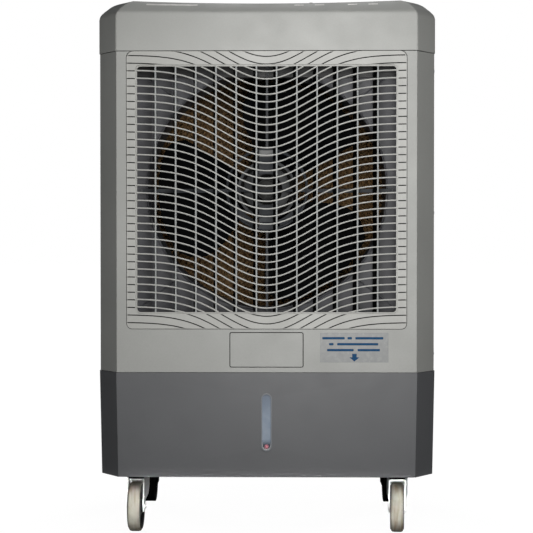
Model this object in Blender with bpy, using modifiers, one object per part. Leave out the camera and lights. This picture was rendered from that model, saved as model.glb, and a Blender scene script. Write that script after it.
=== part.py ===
"""Portable evaporative cooler on casters, built as an assembly of separate parts.

Metres, +Z up. The front faces -Y, +X is to the right seen from the front, and the origin is on the
floor under the middle of the body.
"""

import math

import bmesh
import bpy
from mathutils import Matrix, Vector

# Body: an eight-sided plan, the same from the tank to the top cover
HALF_WIDTH = 0.305
HALF_DEPTH = 0.210
CORNER_X = 0.0355  # how far each corner facet reaches along the front
CORNER_Y = 0.045  # and along the side
INSET = 0.0015  # the middle of the body stands this far inside the tank and the top cover
WALL = 0.003
PANEL_RETURN = 0.005  # the front panel turns this far onto each side
GAP = 0.0005  # clearance between neighbouring parts

# Heights of the seams
TANK_BOTTOM = 0.1087
TANK_TOP = 0.2968
MIDDLE_LOW = 0.2973
MIDDLE_HIGH = 0.8721
COVER_LOW = 0.8727
COVER_SHOULDER = 0.934
COVER_HIGH = 0.968
COVER_DISH = 0.006  # the roof dips this much in its middle
COVER_ROUND_X = 0.047
COVER_ROUND_Y = 0.036
TANK_DRAFT = 0.9885  # size of the tank's foot over its rim

# Front grille: straight uprights crossed by waves that dip in the middle
GRILLE_HALF_WIDTH = 0.2504
GRILLE_LOW = 0.3754
GRILLE_HIGH = 0.8719
GRILLE_CORNER = 0.012
OPENING_HALF_WIDTH = 0.2320
OPENING_LOW = 0.405
OPENING_HIGH = 0.845
UPRIGHTS = 12
UPRIGHT_PITCH = 0.0362
UPRIGHT_WIDTH = 0.0035
WAVE_PITCH = 0.01366
WAVES_PER_BAR = 2  # every second wave is a bar here
WAVE_RISE = 0.0708
WAVE_REACH = 0.107
WAVE_TOP = 0.8360  # middle of the highest whole wave
WAVE_THICKNESS = 0.0027
GRILLE_DEPTH = 0.008

# Upright louvres behind the grille
LOUVRE_PIVOT_Y = -0.195
LOUVRE_AHEAD = 0.0025  # blade in front of the pivot
LOUVRE_BEHIND = 0.0305
LOUVRE_THICKNESS = 0.002
LOUVRE_LOW = 0.400
LOUVRE_HIGH = 0.851
LOUVRE_REST = math.radians(11)
LOUVRE_PIN = 0.0025
LINK_ARM = 0.0265  # pivot to link pin
LINK_PIN = 0.0018
RAIL_HALF_LENGTH = 0.240
LINK_LOW = 0.3925
LINK_HIGH = 0.3965
CRANK_X = 0.055
CRANK_THROW = 0.0133
CRANK_TOP = 0.3865
CRANK_PIN_TOP = 0.3903  # clear of the link pins, which end above it

# Fan, motor and shroud share one axis along Y
FAN_Z = 0.627
RING_RADIUS = 0.2175
SHROUD_Y = -0.145
RING_BACK = -0.045
BLADES = 3
BLADE_TIP = 0.208
BLADE_SPAN = math.radians(74)
BLADE_FIRST = math.radians(65)
BLADE_Y = -0.062
BLADE_SWEEP = math.radians(14)
BLADE_RISE = 0.028  # height across a blade along the fan's axis, at the hub
BLADE_TIP_RISE = 0.010  # added to that at the tip
BLADE_CUP = 0.006
BLADE_THICKNESS = 0.0025
HUB_RADIUS = 0.055
HUB_FRONT = -0.082
HUB_BACK = -0.042
MOTOR_RADIUS = 0.0486
MOTOR_FLANGE = 0.0545
MOTOR_FRONT = -0.150
MOTOR_BACK = -0.088
SHAFT_RADIUS = 0.006
BRACKET_Y = -0.154
BAR_HALF_LENGTH = 0.230
STRAP_HALF_WIDTH = 0.0152
TIE_ROD_RADIUS = 0.0025
GUARD_RADIUS = 0.073
SADDLE_INNER = 0.059  # curved plates inside the guard ring's lower half
SADDLE_OUTER = 0.0735
SADDLES = ((204, 250), (290, 336))  # their first and last angles in degrees

# Rear frame and cooling pad
FRAME_HALF_WIDTH = 0.2625
FRAME_LOW = 0.3020
FRAME_HIGH = 0.8680
REAR_Y = 0.2085
REAR_COLUMNS = 4
REAR_ROWS = 12

# Casters
WHEEL_RADIUS = 0.045
WHEEL_HALF_WIDTH = 0.0125
WHEEL_FACETS = 20
SWIVEL_X = 0.2408
SWIVEL_Y = -0.122
TRAIL = 0.028
FORK_HALF_WIDTH = 0.0155
FORK_SHEET = 0.0025
YAW = {"left": 0.0, "right": math.radians(-4.5)}
REAR_WHEEL_X = 0.2453
REAR_WHEEL_Y = 0.154
AXLE = 0.004
FORK_TOP = 0.0955
FORK_BACK = 0.030
HOUSING_LOW = 0.1002

# Water level gauge in the front of the tank
GAUGE_LOW = 0.1568
GAUGE_HIGH = 0.2582
GAUGE_WIDTH = 0.017
GAUGE_FRONT = -0.2085
GAUGE_DEPTH = 0.013

# Storage compartment in the underside of the tank
STORE_HALF_X = 0.080
STORE_HALF_Y = 0.050
STORE_HEIGHT = 0.042
STORE_HINGE = (0, STORE_HALF_Y - 0.0035, TANK_BOTTOM + 0.0015)

# Openings in the tank's walls
DRAIN_Z = 0.130
DRAIN_HOLE = 0.012
INLET_Z = 0.269
INLET_HOLE = 0.0105
FILL_HINGE = (0.3021, 0, 0.2228)
FILL_HALF_LENGTH = 0.055
FILL_TOP = 0.2755

# Water path from the pump to the trough above the pad
PUMP_LOW = (0.180, 0.060, 0.1130)
PUMP_HIGH = (0.240, 0.110, 0.173)
NOZZLE = (0.225, 0.085)
NOZZLE_TOP = 0.188
HOSE_X = 0.275
HOSE_Y = 0.085
HOSE_RADIUS = 0.006
TROUGH_LOW = (-0.240, 0.145, 0.8745)
TROUGH_HIGH = (0.240, 0.195, 0.8960)
TROUGH_WALL = 0.002
ARM_LENGTH = 0.065  # float arm
ARM_DROP = math.radians(35)
ARM_FLOAT = 0.020

# Controls in the roof
CONTROL_LOW = (0.055, -0.190)  # front left corner of their recess
CONTROL_HIGH = (0.205, -0.126)
CONTROL_TOP = 0.9505
KNOBS = {"speed_knob": 0.080, "pump_knob": 0.130, "swing_knob": 0.180}
KNOB_Y = -0.158

# Badge under the grille and hand grips in the sides
BADGE_HALF_WIDTH = 0.065
BADGE_LOW = 0.3072
BADGE_HIGH = 0.3680
GRIP_HALF_LENGTH = 0.055
GRIP_LOW = 0.745
GRIP_HIGH = 0.780
GRIP_DEPTH = 0.027
GRIP_WALL = 0.002

FACING_FRONT = (math.pi / 2, 0, 0)  # turns local Y up and local Z to the front
FACING_SIDE = (math.pi / 2, 0, math.pi / 2)  # turns local X back, Y up and Z to the right


def clear_scene():
    for obj in list(bpy.data.objects):
        bpy.data.objects.remove(obj)
    for name in ("evaporative_cooler", "helpers"):
        bpy.context.scene.collection.children.link(bpy.data.collections.new(name))


def material(name, colour, roughness, metallic=0.0):
    found = bpy.data.materials.new(name)
    found.use_nodes = True
    shader = found.node_tree.nodes["Principled BSDF"]
    shader.inputs["Base Color"].default_value = (*colour, 1)
    shader.inputs["Roughness"].default_value = roughness
    shader.inputs["Metallic"].default_value = metallic
    return found


# --- Shapes -------------------------------------------------------------------------------------


def place(name, data, finish, location=(0, 0, 0), rotation=(0, 0, 0)):
    obj = bpy.data.objects.new(name, data)
    obj.location = location
    obj.rotation_euler = rotation
    bpy.data.collections["evaporative_cooler"].objects.link(obj)
    if not data.materials:
        data.materials.append(finish)
    return obj


def mesh_from(name, bm):
    mesh = bpy.data.meshes.new(name)
    bm.to_mesh(mesh)
    bm.free()
    return mesh


def box(name, low, high, finish):
    """A block between two corners."""
    bm = bmesh.new()
    bmesh.ops.create_cube(bm, size=1)
    bmesh.ops.scale(bm, vec=Vector(high) - Vector(low), verts=bm.verts)
    return place(name, mesh_from(name, bm), finish, (Vector(low) + Vector(high)) / 2)


def rod(name, start, end, radius, finish, sides=16):
    """A cylinder from one point to another."""
    along = Vector(end) - Vector(start)
    bm = bmesh.new()
    bmesh.ops.create_cone(
        bm, cap_ends=True, segments=sides, radius1=radius, radius2=radius, depth=along.length
    )
    turn = along.to_track_quat("Z", "Y").to_euler()
    return place(name, mesh_from(name, bm), finish, (Vector(start) + Vector(end)) / 2, turn)


def outline(name, loops, thickness, finish, location=(0, 0, 0), rotation=(0, 0, 0)):
    """A flat sheet: the first loop is its edge, and the others are holes."""
    curve = bpy.data.curves.new(name, "CURVE")
    curve.dimensions = "2D"
    curve.fill_mode = "BOTH"
    curve.extrude = thickness / 2
    for loop in loops:
        spline = curve.splines.new("POLY")
        spline.points.add(len(loop) - 1)
        for point, (x, y) in zip(spline.points, loop):
            point.co = (x, y, 0, 1)
        spline.use_cyclic_u = True
    return place(name, curve, finish, location, rotation)


def turned(name, profile, finish, location, rotation, sides=24, ring=False):
    """A solid of revolution about local Z, from (radius, height) points down its outer side."""
    bm = bmesh.new()
    points = [bm.verts.new((radius, 0, height)) for radius, height in profile]
    for a, b in zip(points, points[1:]):
        bm.edges.new((a, b))
    if ring:
        bm.edges.new((points[-1], points[0]))
    bmesh.ops.rotate(bm, verts=bm.verts, matrix=Matrix.Rotation(math.pi / sides, 3, "Z"))
    obj = place(name, mesh_from(name, bm), finish, location, rotation)
    screw = obj.modifiers.new("turn", "SCREW")
    screw.steps = screw.render_steps = sides
    screw.use_merge_vertices = True
    screw.merge_threshold = 0.00001
    return obj


def tube(name, points, radius, finish):
    curve = bpy.data.curves.new(name, "CURVE")
    curve.dimensions = "3D"
    curve.bevel_depth = radius
    curve.bevel_resolution = 2
    curve.use_fill_caps = True
    spline = curve.splines.new("POLY")
    spline.points.add(len(points) - 1)
    for point, co in zip(spline.points, points):
        point.co = (*co, 1)
    return place(name, curve, finish)


def stacked(name, sections, finish):
    """A solid whose outline changes with height, from (height, outline) pairs."""
    bm = bmesh.new()
    rings = [[bm.verts.new((x, y, height)) for x, y in loop] for height, loop in sections]
    for lower, upper in zip(rings, rings[1:]):
        for corners in zip(lower, lower[1:] + lower[:1], upper[1:] + upper[:1], upper):
            bm.faces.new(corners)
    bm.faces.new(rings[0][::-1])
    bm.faces.new(rings[-1])
    return place(name, mesh_from(name, bm), finish)


def bent_sheet(name, path, finish):
    """An upright sheet whose outer face follows a path in plan, counter-clockwise about the body."""
    bm = bmesh.new()
    lower = [bm.verts.new((x, y, MIDDLE_LOW)) for x, y in path]
    upper = [bm.verts.new((x, y, MIDDLE_HIGH)) for x, y in path]
    for corners in zip(lower, lower[1:], upper[1:], upper):
        bm.faces.new(corners)
    obj = place(name, mesh_from(name, bm), finish)
    thicken(obj, WALL)
    return obj


def lattice(name, xs, ys, thickness, finish, location, rotation):
    """A flat sheet on a grid of lines, with a hole in every second cell both ways."""
    bm = bmesh.new()
    grid = [[bm.verts.new((x, y, thickness / 2)) for x in xs] for y in ys]
    for j, (lower, upper) in enumerate(zip(grid, grid[1:])):
        for i, corners in enumerate(zip(lower, lower[1:], upper[1:], upper)):
            if i % 2 == 0 or j % 2 == 0:
                bm.faces.new(corners)
    obj = place(name, mesh_from(name, bm), finish, location, rotation)
    thicken(obj, thickness)
    return obj


def thicken(obj, thickness):
    solidify = obj.modifiers.new("wall", "SOLIDIFY")
    solidify.thickness = thickness
    solidify.offset = -1
    solidify.use_even_offset = True


def as_mesh(obj):
    """The object as a mesh with its modifiers applied and its seams welded."""
    bpy.context.view_layer.update()
    graph = bpy.context.evaluated_depsgraph_get()
    mesh = bpy.data.meshes.new_from_object(obj.evaluated_get(graph))
    bm = bmesh.new()
    bm.from_mesh(mesh)
    bmesh.ops.remove_doubles(bm, verts=bm.verts, dist=0.000001)
    bm.to_mesh(mesh)
    bm.free()
    name, matrix = obj.name, obj.matrix_world.copy()
    for collection in list(obj.users_collection):
        collection.objects.unlink(obj)
    obj.name = name + "_source"
    bpy.data.objects.remove(obj)
    solid = place(name, mesh, mesh.materials[0])
    solid.matrix_world = matrix
    return solid


def combine(obj, other, operation):
    """Cuts the other shape from the object or joins it on. The other one becomes a hidden helper."""
    if other.type == "CURVE":
        other = as_mesh(other)
    if other.name in bpy.data.collections["evaporative_cooler"].objects:
        bpy.data.collections["evaporative_cooler"].objects.unlink(other)
        bpy.data.collections["helpers"].objects.link(other)
    other.hide_render = True
    other.display_type = "WIRE"
    boolean = obj.modifiers.new(operation.lower(), "BOOLEAN")
    boolean.operation = operation
    boolean.object = other
    return obj


def cut(obj, *cutters):
    for cutter in cutters:
        combine(obj, cutter, "DIFFERENCE")
    return obj


def join(obj, *others):
    for other in others:
        combine(obj, other, "UNION")
    return obj


# --- Outlines -----------------------------------------------------------------------------------


def eight_sides(half_width, half_depth, scale=1.0, corner_x=CORNER_X, corner_y=CORNER_Y):
    """The body's plan, counter-clockwise."""
    quarter = [(half_width, half_depth - corner_y), (half_width - corner_x, half_depth)]
    right = [(x, -y) for x, y in reversed(quarter)] + quarter
    left = [(-x, -y) for x, y in right]
    return [(x * scale, y * scale) for x, y in right + left]


def rectangle(x0, y0, x1, y1):
    return [(x0, y0), (x1, y0), (x1, y1), (x0, y1)]


def arc(x, y, radius, start, end, steps):
    """Points on an arc, with its angles in degrees."""
    angles = [math.radians(start + (end - start) * i / steps) for i in range(steps + 1)]
    return [(x + radius * math.cos(a), y + radius * math.sin(a)) for a in angles]


def circle(x, y, radius, sides):
    return arc(x, y, radius, 0, 360, sides)[:-1]


def stadium(width, low, high, steps=6):
    """An upright slot with round ends, centred on x = 0."""
    r = width / 2
    return arc(0, high - r, r, 0, 180, steps) + arc(0, low + r, r, 180, 360, steps)


def wave(x, middle):
    """Height of a grille wave at x, given its height in the middle."""
    return middle + WAVE_RISE * (1 - math.exp(-((x / WAVE_REACH) ** 2)))


def clipped(loop, limit, side):
    """The part of a loop above (side 1) or below (side -1) a height."""
    kept = []
    for (xa, ya), (xb, yb) in zip(loop, loop[1:] + loop[:1]):
        inside_a, inside_b = side * (ya - limit) > 0, side * (yb - limit) > 0
        if inside_a:
            kept.append((xa, ya))
        if inside_a != inside_b:
            t = (limit - ya) / (yb - ya)
            kept.append((xa + (xb - xa) * t, limit))
    return kept


def upright_positions():
    return [(i - (UPRIGHTS - 1) / 2) * UPRIGHT_PITCH for i in range(UPRIGHTS)]


def grille_cells():
    """The holes between the uprights and the waves, inside the opening."""
    half_bar, half_wave = UPRIGHT_WIDTH / 2, WAVE_THICKNESS / 2
    edges = [-OPENING_HALF_WIDTH]
    for x in upright_positions():
        edges += [x - half_bar, x + half_bar]
    edges.append(OPENING_HALF_WIDTH)
    step = WAVE_PITCH * WAVES_PER_BAR
    first = WAVE_TOP + 3 * step
    rows = int((first - OPENING_LOW + WAVE_RISE) / step) + 2
    cells = []
    for left, right in zip(edges[::2], edges[1::2]):
        for row in range(rows):
            top, bottom = first - row * step - half_wave, first - (row + 1) * step + half_wave
            cell = [(x, wave(x, bottom)) for x in (left, right)]
            cell += [(x, wave(x, top)) for x in (right, left)]
            cell = clipped(clipped(cell, OPENING_LOW, 1), OPENING_HIGH, -1)
            heights = [z for _, z in cell]
            if cell and max(heights) - min(heights) > WAVE_THICKNESS:
                cells.append(cell)
    return cells


# --- Body ---------------------------------------------------------------------------------------


def water_tank(finish):
    """The reservoir: an open tub with the gauge slot, ports, fill hole and storage compartment."""
    rim = eight_sides(HALF_WIDTH, HALF_DEPTH)
    foot = eight_sides(HALF_WIDTH, HALF_DEPTH, TANK_DRAFT)
    tank = stacked("water_tank", [(TANK_BOTTOM, foot), (TANK_TOP, rim)], finish)
    inside = [
        (TANK_BOTTOM + WALL + GAP, eight_sides(HALF_WIDTH - WALL, HALF_DEPTH - WALL, TANK_DRAFT)),
        (TANK_TOP, eight_sides(HALF_WIDTH - WALL, HALF_DEPTH - WALL)),
        (TANK_TOP + WALL, eight_sides(HALF_WIDTH - WALL, HALF_DEPTH - WALL)),
    ]
    cut(tank, stacked("tank_inside", inside, finish))
    x, y, roof = STORE_HALF_X, STORE_HALF_Y, TANK_BOTTOM + STORE_HEIGHT
    floor = TANK_BOTTOM + WALL / 2
    join(tank, box("store_walls", (-x - WALL, -y - WALL, floor), (x + WALL, y + WALL, roof), finish))
    low = TANK_BOTTOM - WALL
    cut(tank, box("store_inside", (-x, -y, low), (x, y, roof - WALL), finish))
    slot = stadium(GAUGE_WIDTH + 2 * GAP, GAUGE_LOW - GAP, GAUGE_HIGH + GAP)
    cut(tank, outline("gauge_slot", [slot], 0.03, finish, (0, -HALF_DEPTH, 0), FACING_FRONT))
    y = FILL_HALF_LENGTH + 2 * GAP
    low, high = (0.290, -y, FILL_HINGE[2] - 0.0038), (0.320, y, FILL_TOP + 2 * GAP)
    cut(tank, box("fill_hole", low, high, finish))
    for name, side, height, radius in (
        ("drain_hole", 1, DRAIN_Z, DRAIN_HOLE),
        ("inlet_hole", -1, INLET_Z, INLET_HOLE),
    ):
        middle, outward = rear_facet(side, height)
        cut(tank, rod(name, middle - outward * 0.02, middle + outward * 0.02, radius, finish))
    return tank


def rear_facet(side, height):
    """The middle of the tank's rear corner facet at a height, and its outward direction."""
    draft = 1 - (1 - TANK_DRAFT) * (TANK_TOP - height) / (TANK_TOP - TANK_BOTTOM)
    middle = Vector((side * (HALF_WIDTH - CORNER_X / 2), HALF_DEPTH - CORNER_Y / 2, 0)) * draft
    middle.z = height
    return middle, Vector((side * CORNER_Y, CORNER_X, 0)).normalized()


def top_cover(finish):
    """The roof: a rounded lid with a shallow dish and a hole for the controls."""
    sections = [(COVER_LOW, eight_sides(HALF_WIDTH, HALF_DEPTH))]
    steps = 5
    for i in range(steps + 1):
        angle = math.pi / 2 * i / steps
        inward, upward = 1 - math.cos(angle), math.sin(angle)
        plan = eight_sides(
            HALF_WIDTH - COVER_ROUND_X * inward,
            HALF_DEPTH - COVER_ROUND_Y * inward,
            corner_x=CORNER_X * (1 - 0.3 * inward),
            corner_y=CORNER_Y * (1 - 0.3 * inward),
        )
        sections.append((COVER_SHOULDER + (COVER_HIGH - COVER_SHOULDER) * upward, plan))
    cover = stacked("top_cover", sections, finish)
    bm = bmesh.new()
    bm.from_mesh(cover.data)
    flat = HALF_WIDTH - COVER_ROUND_X
    for i in range(-3, 4):
        everything = bm.verts[:] + bm.edges[:] + bm.faces[:]
        plane = (i * flat / 4, 0, 0)
        bmesh.ops.bisect_plane(bm, geom=everything, plane_co=plane, plane_no=(1, 0, 0))
    for vert in bm.verts:
        lift = max(0, (vert.co.z - COVER_SHOULDER) / (COVER_HIGH - COVER_SHOULDER))
        vert.co.z -= COVER_DISH * lift**2 * max(0, 1 - (vert.co.x / flat) ** 2)
    under = [face for face in bm.faces if max(v.co.z for v in face.verts) < COVER_LOW + WALL]
    bmesh.ops.delete(bm, geom=under, context="FACES")
    bm.to_mesh(cover.data)
    bm.free()
    thicken(cover, WALL)
    low, high = CONTROL_LOW, CONTROL_HIGH
    cut(cover, box("control_hole", (*low, 0.930), (*high, 0.990), finish))
    return cover


def control_panel(finish):
    (x0, y0), (x1, y1) = CONTROL_LOW, CONTROL_HIGH
    holes = [circle(x, KNOB_Y, 0.0037, 10) for x in KNOBS.values()]
    edge = rectangle(x0 + GAP, y0 + GAP, x1 - GAP, y1 - GAP)
    return outline("control_panel", [edge, *holes], 0.004, finish, (0, 0, CONTROL_TOP - 0.002))


def knob(name, x, finish):
    """A turning knob with a grip bar and its switch shaft. Its origin is on the axis."""
    profile = [(0, 0.0105), (0.0130, 0.0105), (0.0145, 0.0085), (0.0158, GAP), (0.003, GAP)]
    profile += [(0.003, -0.012), (0, -0.012)]
    dial = turned(name, profile, finish, (x, KNOB_Y, CONTROL_TOP), (0, 0, 0), 20)
    low = (x - 0.003, KNOB_Y - 0.0125, CONTROL_TOP + 0.0075)
    high = (x + 0.003, KNOB_Y + 0.0125, CONTROL_TOP + 0.015)
    return join(dial, box(name + "_bar", low, high, finish))


def front_panel(finish):
    """The front sheet with its corner facets and the windows for the grille and the badge."""
    half_width, half_depth = HALF_WIDTH - INSET, HALF_DEPTH - INSET
    corner_x, corner_y = CORNER_X - INSET / 2, CORNER_Y - INSET
    path = [
        (-half_width, -half_depth + corner_y + PANEL_RETURN),
        (-half_width, -half_depth + corner_y),
        (-half_width + corner_x, -half_depth),
        (half_width - corner_x, -half_depth),
        (half_width, -half_depth + corner_y),
        (half_width, -half_depth + corner_y + PANEL_RETURN),
    ]
    panel = bent_sheet("front_panel", path, finish)
    edge = GRILLE_HALF_WIDTH + GAP
    window = box("grille_window", (-edge, -0.220, GRILLE_LOW - GAP), (edge, -0.190, 0.890), finish)
    x, z0, z1 = BADGE_HALF_WIDTH + GAP, BADGE_LOW - GAP, BADGE_HIGH + GAP
    return cut(panel, window, box("badge_window", (-x, -0.220, z0), (x, -0.190, z1), finish))


def front_badge(finish):
    x, y = BADGE_HALF_WIDTH, -HALF_DEPTH + INSET
    return box("front_badge", (-x, y, BADGE_LOW), (x, y + WALL, BADGE_HIGH), finish)


def front_grille(finish):
    """The moulded grille: one flat lattice with rounded upper corners."""
    w, r = GRILLE_HALF_WIDTH, GRILLE_CORNER
    edge = [(-w, GRILLE_LOW), (w, GRILLE_LOW)]
    edge += arc(w - r, GRILLE_HIGH - r, r, 0, 90, 4) + arc(-w + r, GRILLE_HIGH - r, r, 90, 180, 4)
    middle_y = -HALF_DEPTH + INSET + GRILLE_DEPTH / 2
    loops = [edge, *grille_cells()]
    return outline("front_grille", loops, GRILLE_DEPTH, finish, (0, middle_y, 0), FACING_FRONT)


def side_panel(name, side, finish):
    """A side sheet with its rear corner facet and the hole for a hand grip."""
    half_width, half_depth = HALF_WIDTH - INSET, HALF_DEPTH - INSET
    front = -half_depth + CORNER_Y - INSET + PANEL_RETURN + GAP
    path = [
        (side * half_width, front),
        (side * half_width, half_depth - CORNER_Y + INSET),
        (side * (half_width - CORNER_X + INSET / 2), half_depth),
    ]
    panel = bent_sheet(name, path if side > 0 else path[::-1], finish)
    y, z0, z1 = GRIP_HALF_LENGTH + GAP, GRIP_LOW - GAP, GRIP_HIGH + GAP
    x0, x1 = sorted((side * 0.290, side * 0.320))
    return cut(panel, box(name + "_grip_hole", (x0, -y, z0), (x1, y, z1), finish))


def grip_cup(name, side, finish):
    """A pocket for the fingers, open to the outside."""
    face, wall = side * (HALF_WIDTH - INSET), GRIP_WALL
    x0, x1 = sorted((face, face - side * GRIP_DEPTH))
    cup = box(name, (x0, -GRIP_HALF_LENGTH, GRIP_LOW), (x1, GRIP_HALF_LENGTH, GRIP_HIGH), finish)
    x0, x1 = sorted((face + side * 0.01, face - side * (GRIP_DEPTH - wall)))
    low = (x0, -GRIP_HALF_LENGTH + wall, GRIP_LOW + wall)
    return cut(cup, box(name + "_inside", low, (x1, GRIP_HALF_LENGTH - wall, GRIP_HIGH - wall), finish))


def base_deck(finish):
    """The floor of the air chamber, which ends ahead of the pad so that water falls into the tank."""
    front, side, back = 0.260, 0.2965, 0.120
    edge = [(-front, -0.204), (front, -0.204), (side, -0.160), (side, back), (-side, back)]
    edge.append((-side, -0.160))
    hole = circle(HOSE_X, HOSE_Y, 0.009, 12)
    return outline("base_deck", [edge, hole], WALL, finish, (0, 0, MIDDLE_LOW + WALL / 2))


# --- Tank fittings ------------------------------------------------------------------------------


def sight_glass(finish):
    """The clear gauge cover: a long cup with its open side to the water."""
    outer = stadium(GAUGE_WIDTH, GAUGE_LOW, GAUGE_HIGH)
    inner = stadium(GAUGE_WIDTH - WALL, GAUGE_LOW + WALL / 2, GAUGE_HIGH - WALL / 2)
    depth, middle = GAUGE_DEPTH, GAUGE_FRONT + GAUGE_DEPTH / 2
    glass = as_mesh(outline("sight_glass", [outer], depth, finish, (0, middle, 0), FACING_FRONT))
    at = (0, middle + WALL / 2, 0)
    return cut(glass, outline("gauge_pocket", [inner], depth, finish, at, FACING_FRONT))


def level_float(finish):
    """The red marker in the gauge. It rests at the bottom when the tank is empty."""
    at = (0, GAUGE_FRONT + 0.0065, GAUGE_LOW + 0.0062)
    bm = bmesh.new()
    bmesh.ops.create_uvsphere(bm, u_segments=10, v_segments=7, radius=0.004)
    return place("level_float", mesh_from("level_float", bm), finish, at)


def fill_door(finish):
    """The flap over the fill hole. Its origin is on the hinge at its lower edge."""
    x, _, z = FILL_HINGE
    low, high = (x - 0.0013, -FILL_HALF_LENGTH, z - 0.002), (x + 0.0013, FILL_HALF_LENGTH, FILL_TOP)
    door = box("fill_door", low, high, finish)
    shift = Matrix.Translation(door.location - Vector(FILL_HINGE))
    door.data.transform(shift)
    door.location = FILL_HINGE
    return door


def drain_plug(finish):
    """A round cap with a stem that fills the drain hole."""
    middle, outward = rear_facet(1, DRAIN_Z)
    profile = [(0, 0.009), (0.0150, 0.009), (0.0165, 0.0075), (0.0165, 0.0008), (0.0113, 0.0008)]
    profile += [(0.0113, -0.008), (0, -0.008)]
    turn = outward.to_track_quat("Z", "Y").to_euler()
    return turned("drain_plug", profile, finish, middle, turn, 20)


def float_valve(finish):
    """The hose inlet through the wall, with the valve body and the arm's ears inside the tank."""
    middle, outward = rear_facet(-1, INLET_Z)
    profile = [(0.0085, 0.012), (0.0125, 0.012), (0.0125, 0.004), (0.018, 0.004), (0.018, 0.0008)]
    profile += [(0.0100, 0.0008), (0.0100, -0.0058), (0.016, -0.0058), (0.016, -0.011)]
    profile += [(0.0120, -0.011), (0.0120, -0.034), (0.0030, -0.034), (0.0030, -0.013), (0.0085, -0.009)]
    turn = outward.to_track_quat("Z", "Y").to_euler()
    valve = turned("float_valve", profile, finish, middle, turn, 20, ring=True)
    across = outward.cross(Vector((0, 0, 1)))
    for i, side in enumerate((-1, 1)):
        ear = box(f"valve_ear_{i}", (-0.0015, -0.004, -0.011), (0.0015, 0.004, 0.011), finish)
        ear.location = arm_pivot() + across * side * 0.006 + Vector((0, 0, 0.005))
        ear.rotation_euler = across.to_track_quat("X", "Z").to_euler()
        join(valve, ear)
    return valve


def arm_pivot():
    middle, outward = rear_facet(-1, INLET_Z)
    return middle - outward * 0.028 - Vector((0, 0, 0.018))


def float_arm(finish):
    """The float and its arm, hanging down as in an empty tank. Its origin is on the pivot."""
    _, outward = rear_facet(-1, INLET_Z)
    along = -outward * math.cos(ARM_DROP) - Vector((0, 0, 1)) * math.sin(ARM_DROP)
    arm = rod("float_arm", along * -0.003, along * ARM_LENGTH, 0.0025, finish, 10)
    bm = bmesh.new()
    bmesh.ops.create_uvsphere(bm, u_segments=12, v_segments=8, radius=ARM_FLOAT)
    middle = along * (ARM_LENGTH + 0.75 * ARM_FLOAT)
    ball = place("arm_float", mesh_from("arm_float", bm), finish, middle)
    join(arm, ball)
    arm = as_mesh(arm)
    arm.data.transform(arm.matrix_world)
    arm.matrix_world = Matrix.Translation(arm_pivot())
    return arm


def pump(finish):
    body = box("pump", PUMP_LOW, PUMP_HIGH, finish)
    start, end = (*NOZZLE, PUMP_HIGH[2] - 0.005), (*NOZZLE, NOZZLE_TOP)
    return join(body, rod("pump_nozzle", start, end, HOSE_RADIUS, finish, 12))


def pump_hose(finish):
    """The riser from the pump to the end of the distributor, on a smooth curve through its route."""
    end = Vector((TROUGH_HIGH[0] + 0.002, 0.170, 0.884))
    route = [
        Vector((*NOZZLE, NOZZLE_TOP + 0.002)),
        Vector((*NOZZLE, NOZZLE_TOP + 0.022)),
        Vector((0.262, HOSE_Y, 0.262)),
        Vector((HOSE_X, HOSE_Y, 0.320)),
        Vector((HOSE_X, HOSE_Y, 0.820)),
        Vector((0.274, 0.110, 0.872)),
        Vector((0.264, 0.168, 0.884)),
        end,
    ]
    return tube("pump_hose", smooth_route(route, 4), HOSE_RADIUS, finish)


def smooth_route(route, steps):
    """Points on a curve that passes through every point of the route."""
    padded = [2 * route[0] - route[1], *route, 2 * route[-1] - route[-2]]
    points = []
    for a, b, c, d in zip(padded, padded[1:], padded[2:], padded[3:]):
        reach = (c - b).length
        before, after = (c - a).normalized() * reach, (d - b).normalized() * reach
        for i in range(steps):
            t = i / steps
            point = b * (2 * t**3 - 3 * t**2 + 1) + c * (3 * t**2 - 2 * t**3)
            points.append(point + before * (t**3 - 2 * t**2 + t) + after * (t**3 - t**2))
    return points + [route[-1]]


def water_distributor(finish):
    """The trough above the pad, with drip slots in its floor."""
    (x0, y0, z0), (x1, y1, z1), wall = TROUGH_LOW, TROUGH_HIGH, TROUGH_WALL
    trough = box("water_distributor", TROUGH_LOW, TROUGH_HIGH, finish)
    low, high = (x0 + wall, y0 + wall, z0 + wall), (x1 - wall, y1 - wall, z1 + wall)
    cut(trough, box("trough_inside", low, high, finish))
    for i in range(6):
        middle = (i - 2.5) * 0.075
        slot = (middle - 0.012, 0.168, 0.870), (middle + 0.012, 0.172, 0.880)
        cut(trough, box(f"drip_slot_{i}", *slot, finish))
    return trough


def storage_door(finish):
    """The flap under the storage compartment. Its origin is on the hinge at its rear edge."""
    x, y = STORE_HALF_X - GAP, STORE_HALF_Y
    low, high = (-x, -y + GAP, STORE_HINGE[2] - 0.0012), (x, y - 0.0015, STORE_HINGE[2] + 0.0013)
    door = box("storage_door", low, high, finish)
    door.data.transform(Matrix.Translation(door.location - Vector(STORE_HINGE)))
    door.location = STORE_HINGE
    return door


# --- Pad and rear frame -------------------------------------------------------------------------


def cooling_pad(finish):
    return box("cooling_pad", (-0.2550, 0.140, 0.3110), (0.2550, 0.198, 0.8600), finish)


def bar_lines(low, high, margin, bar, openings):
    """Where the bars of a lattice begin and end, from one edge to the other."""
    pitch = (high - low - 2 * margin + bar) / openings
    lines = [low]
    for i in range(openings):
        lines += [low + margin + i * pitch, low + margin + (i + 1) * pitch - bar]
    return lines + [high]


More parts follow.
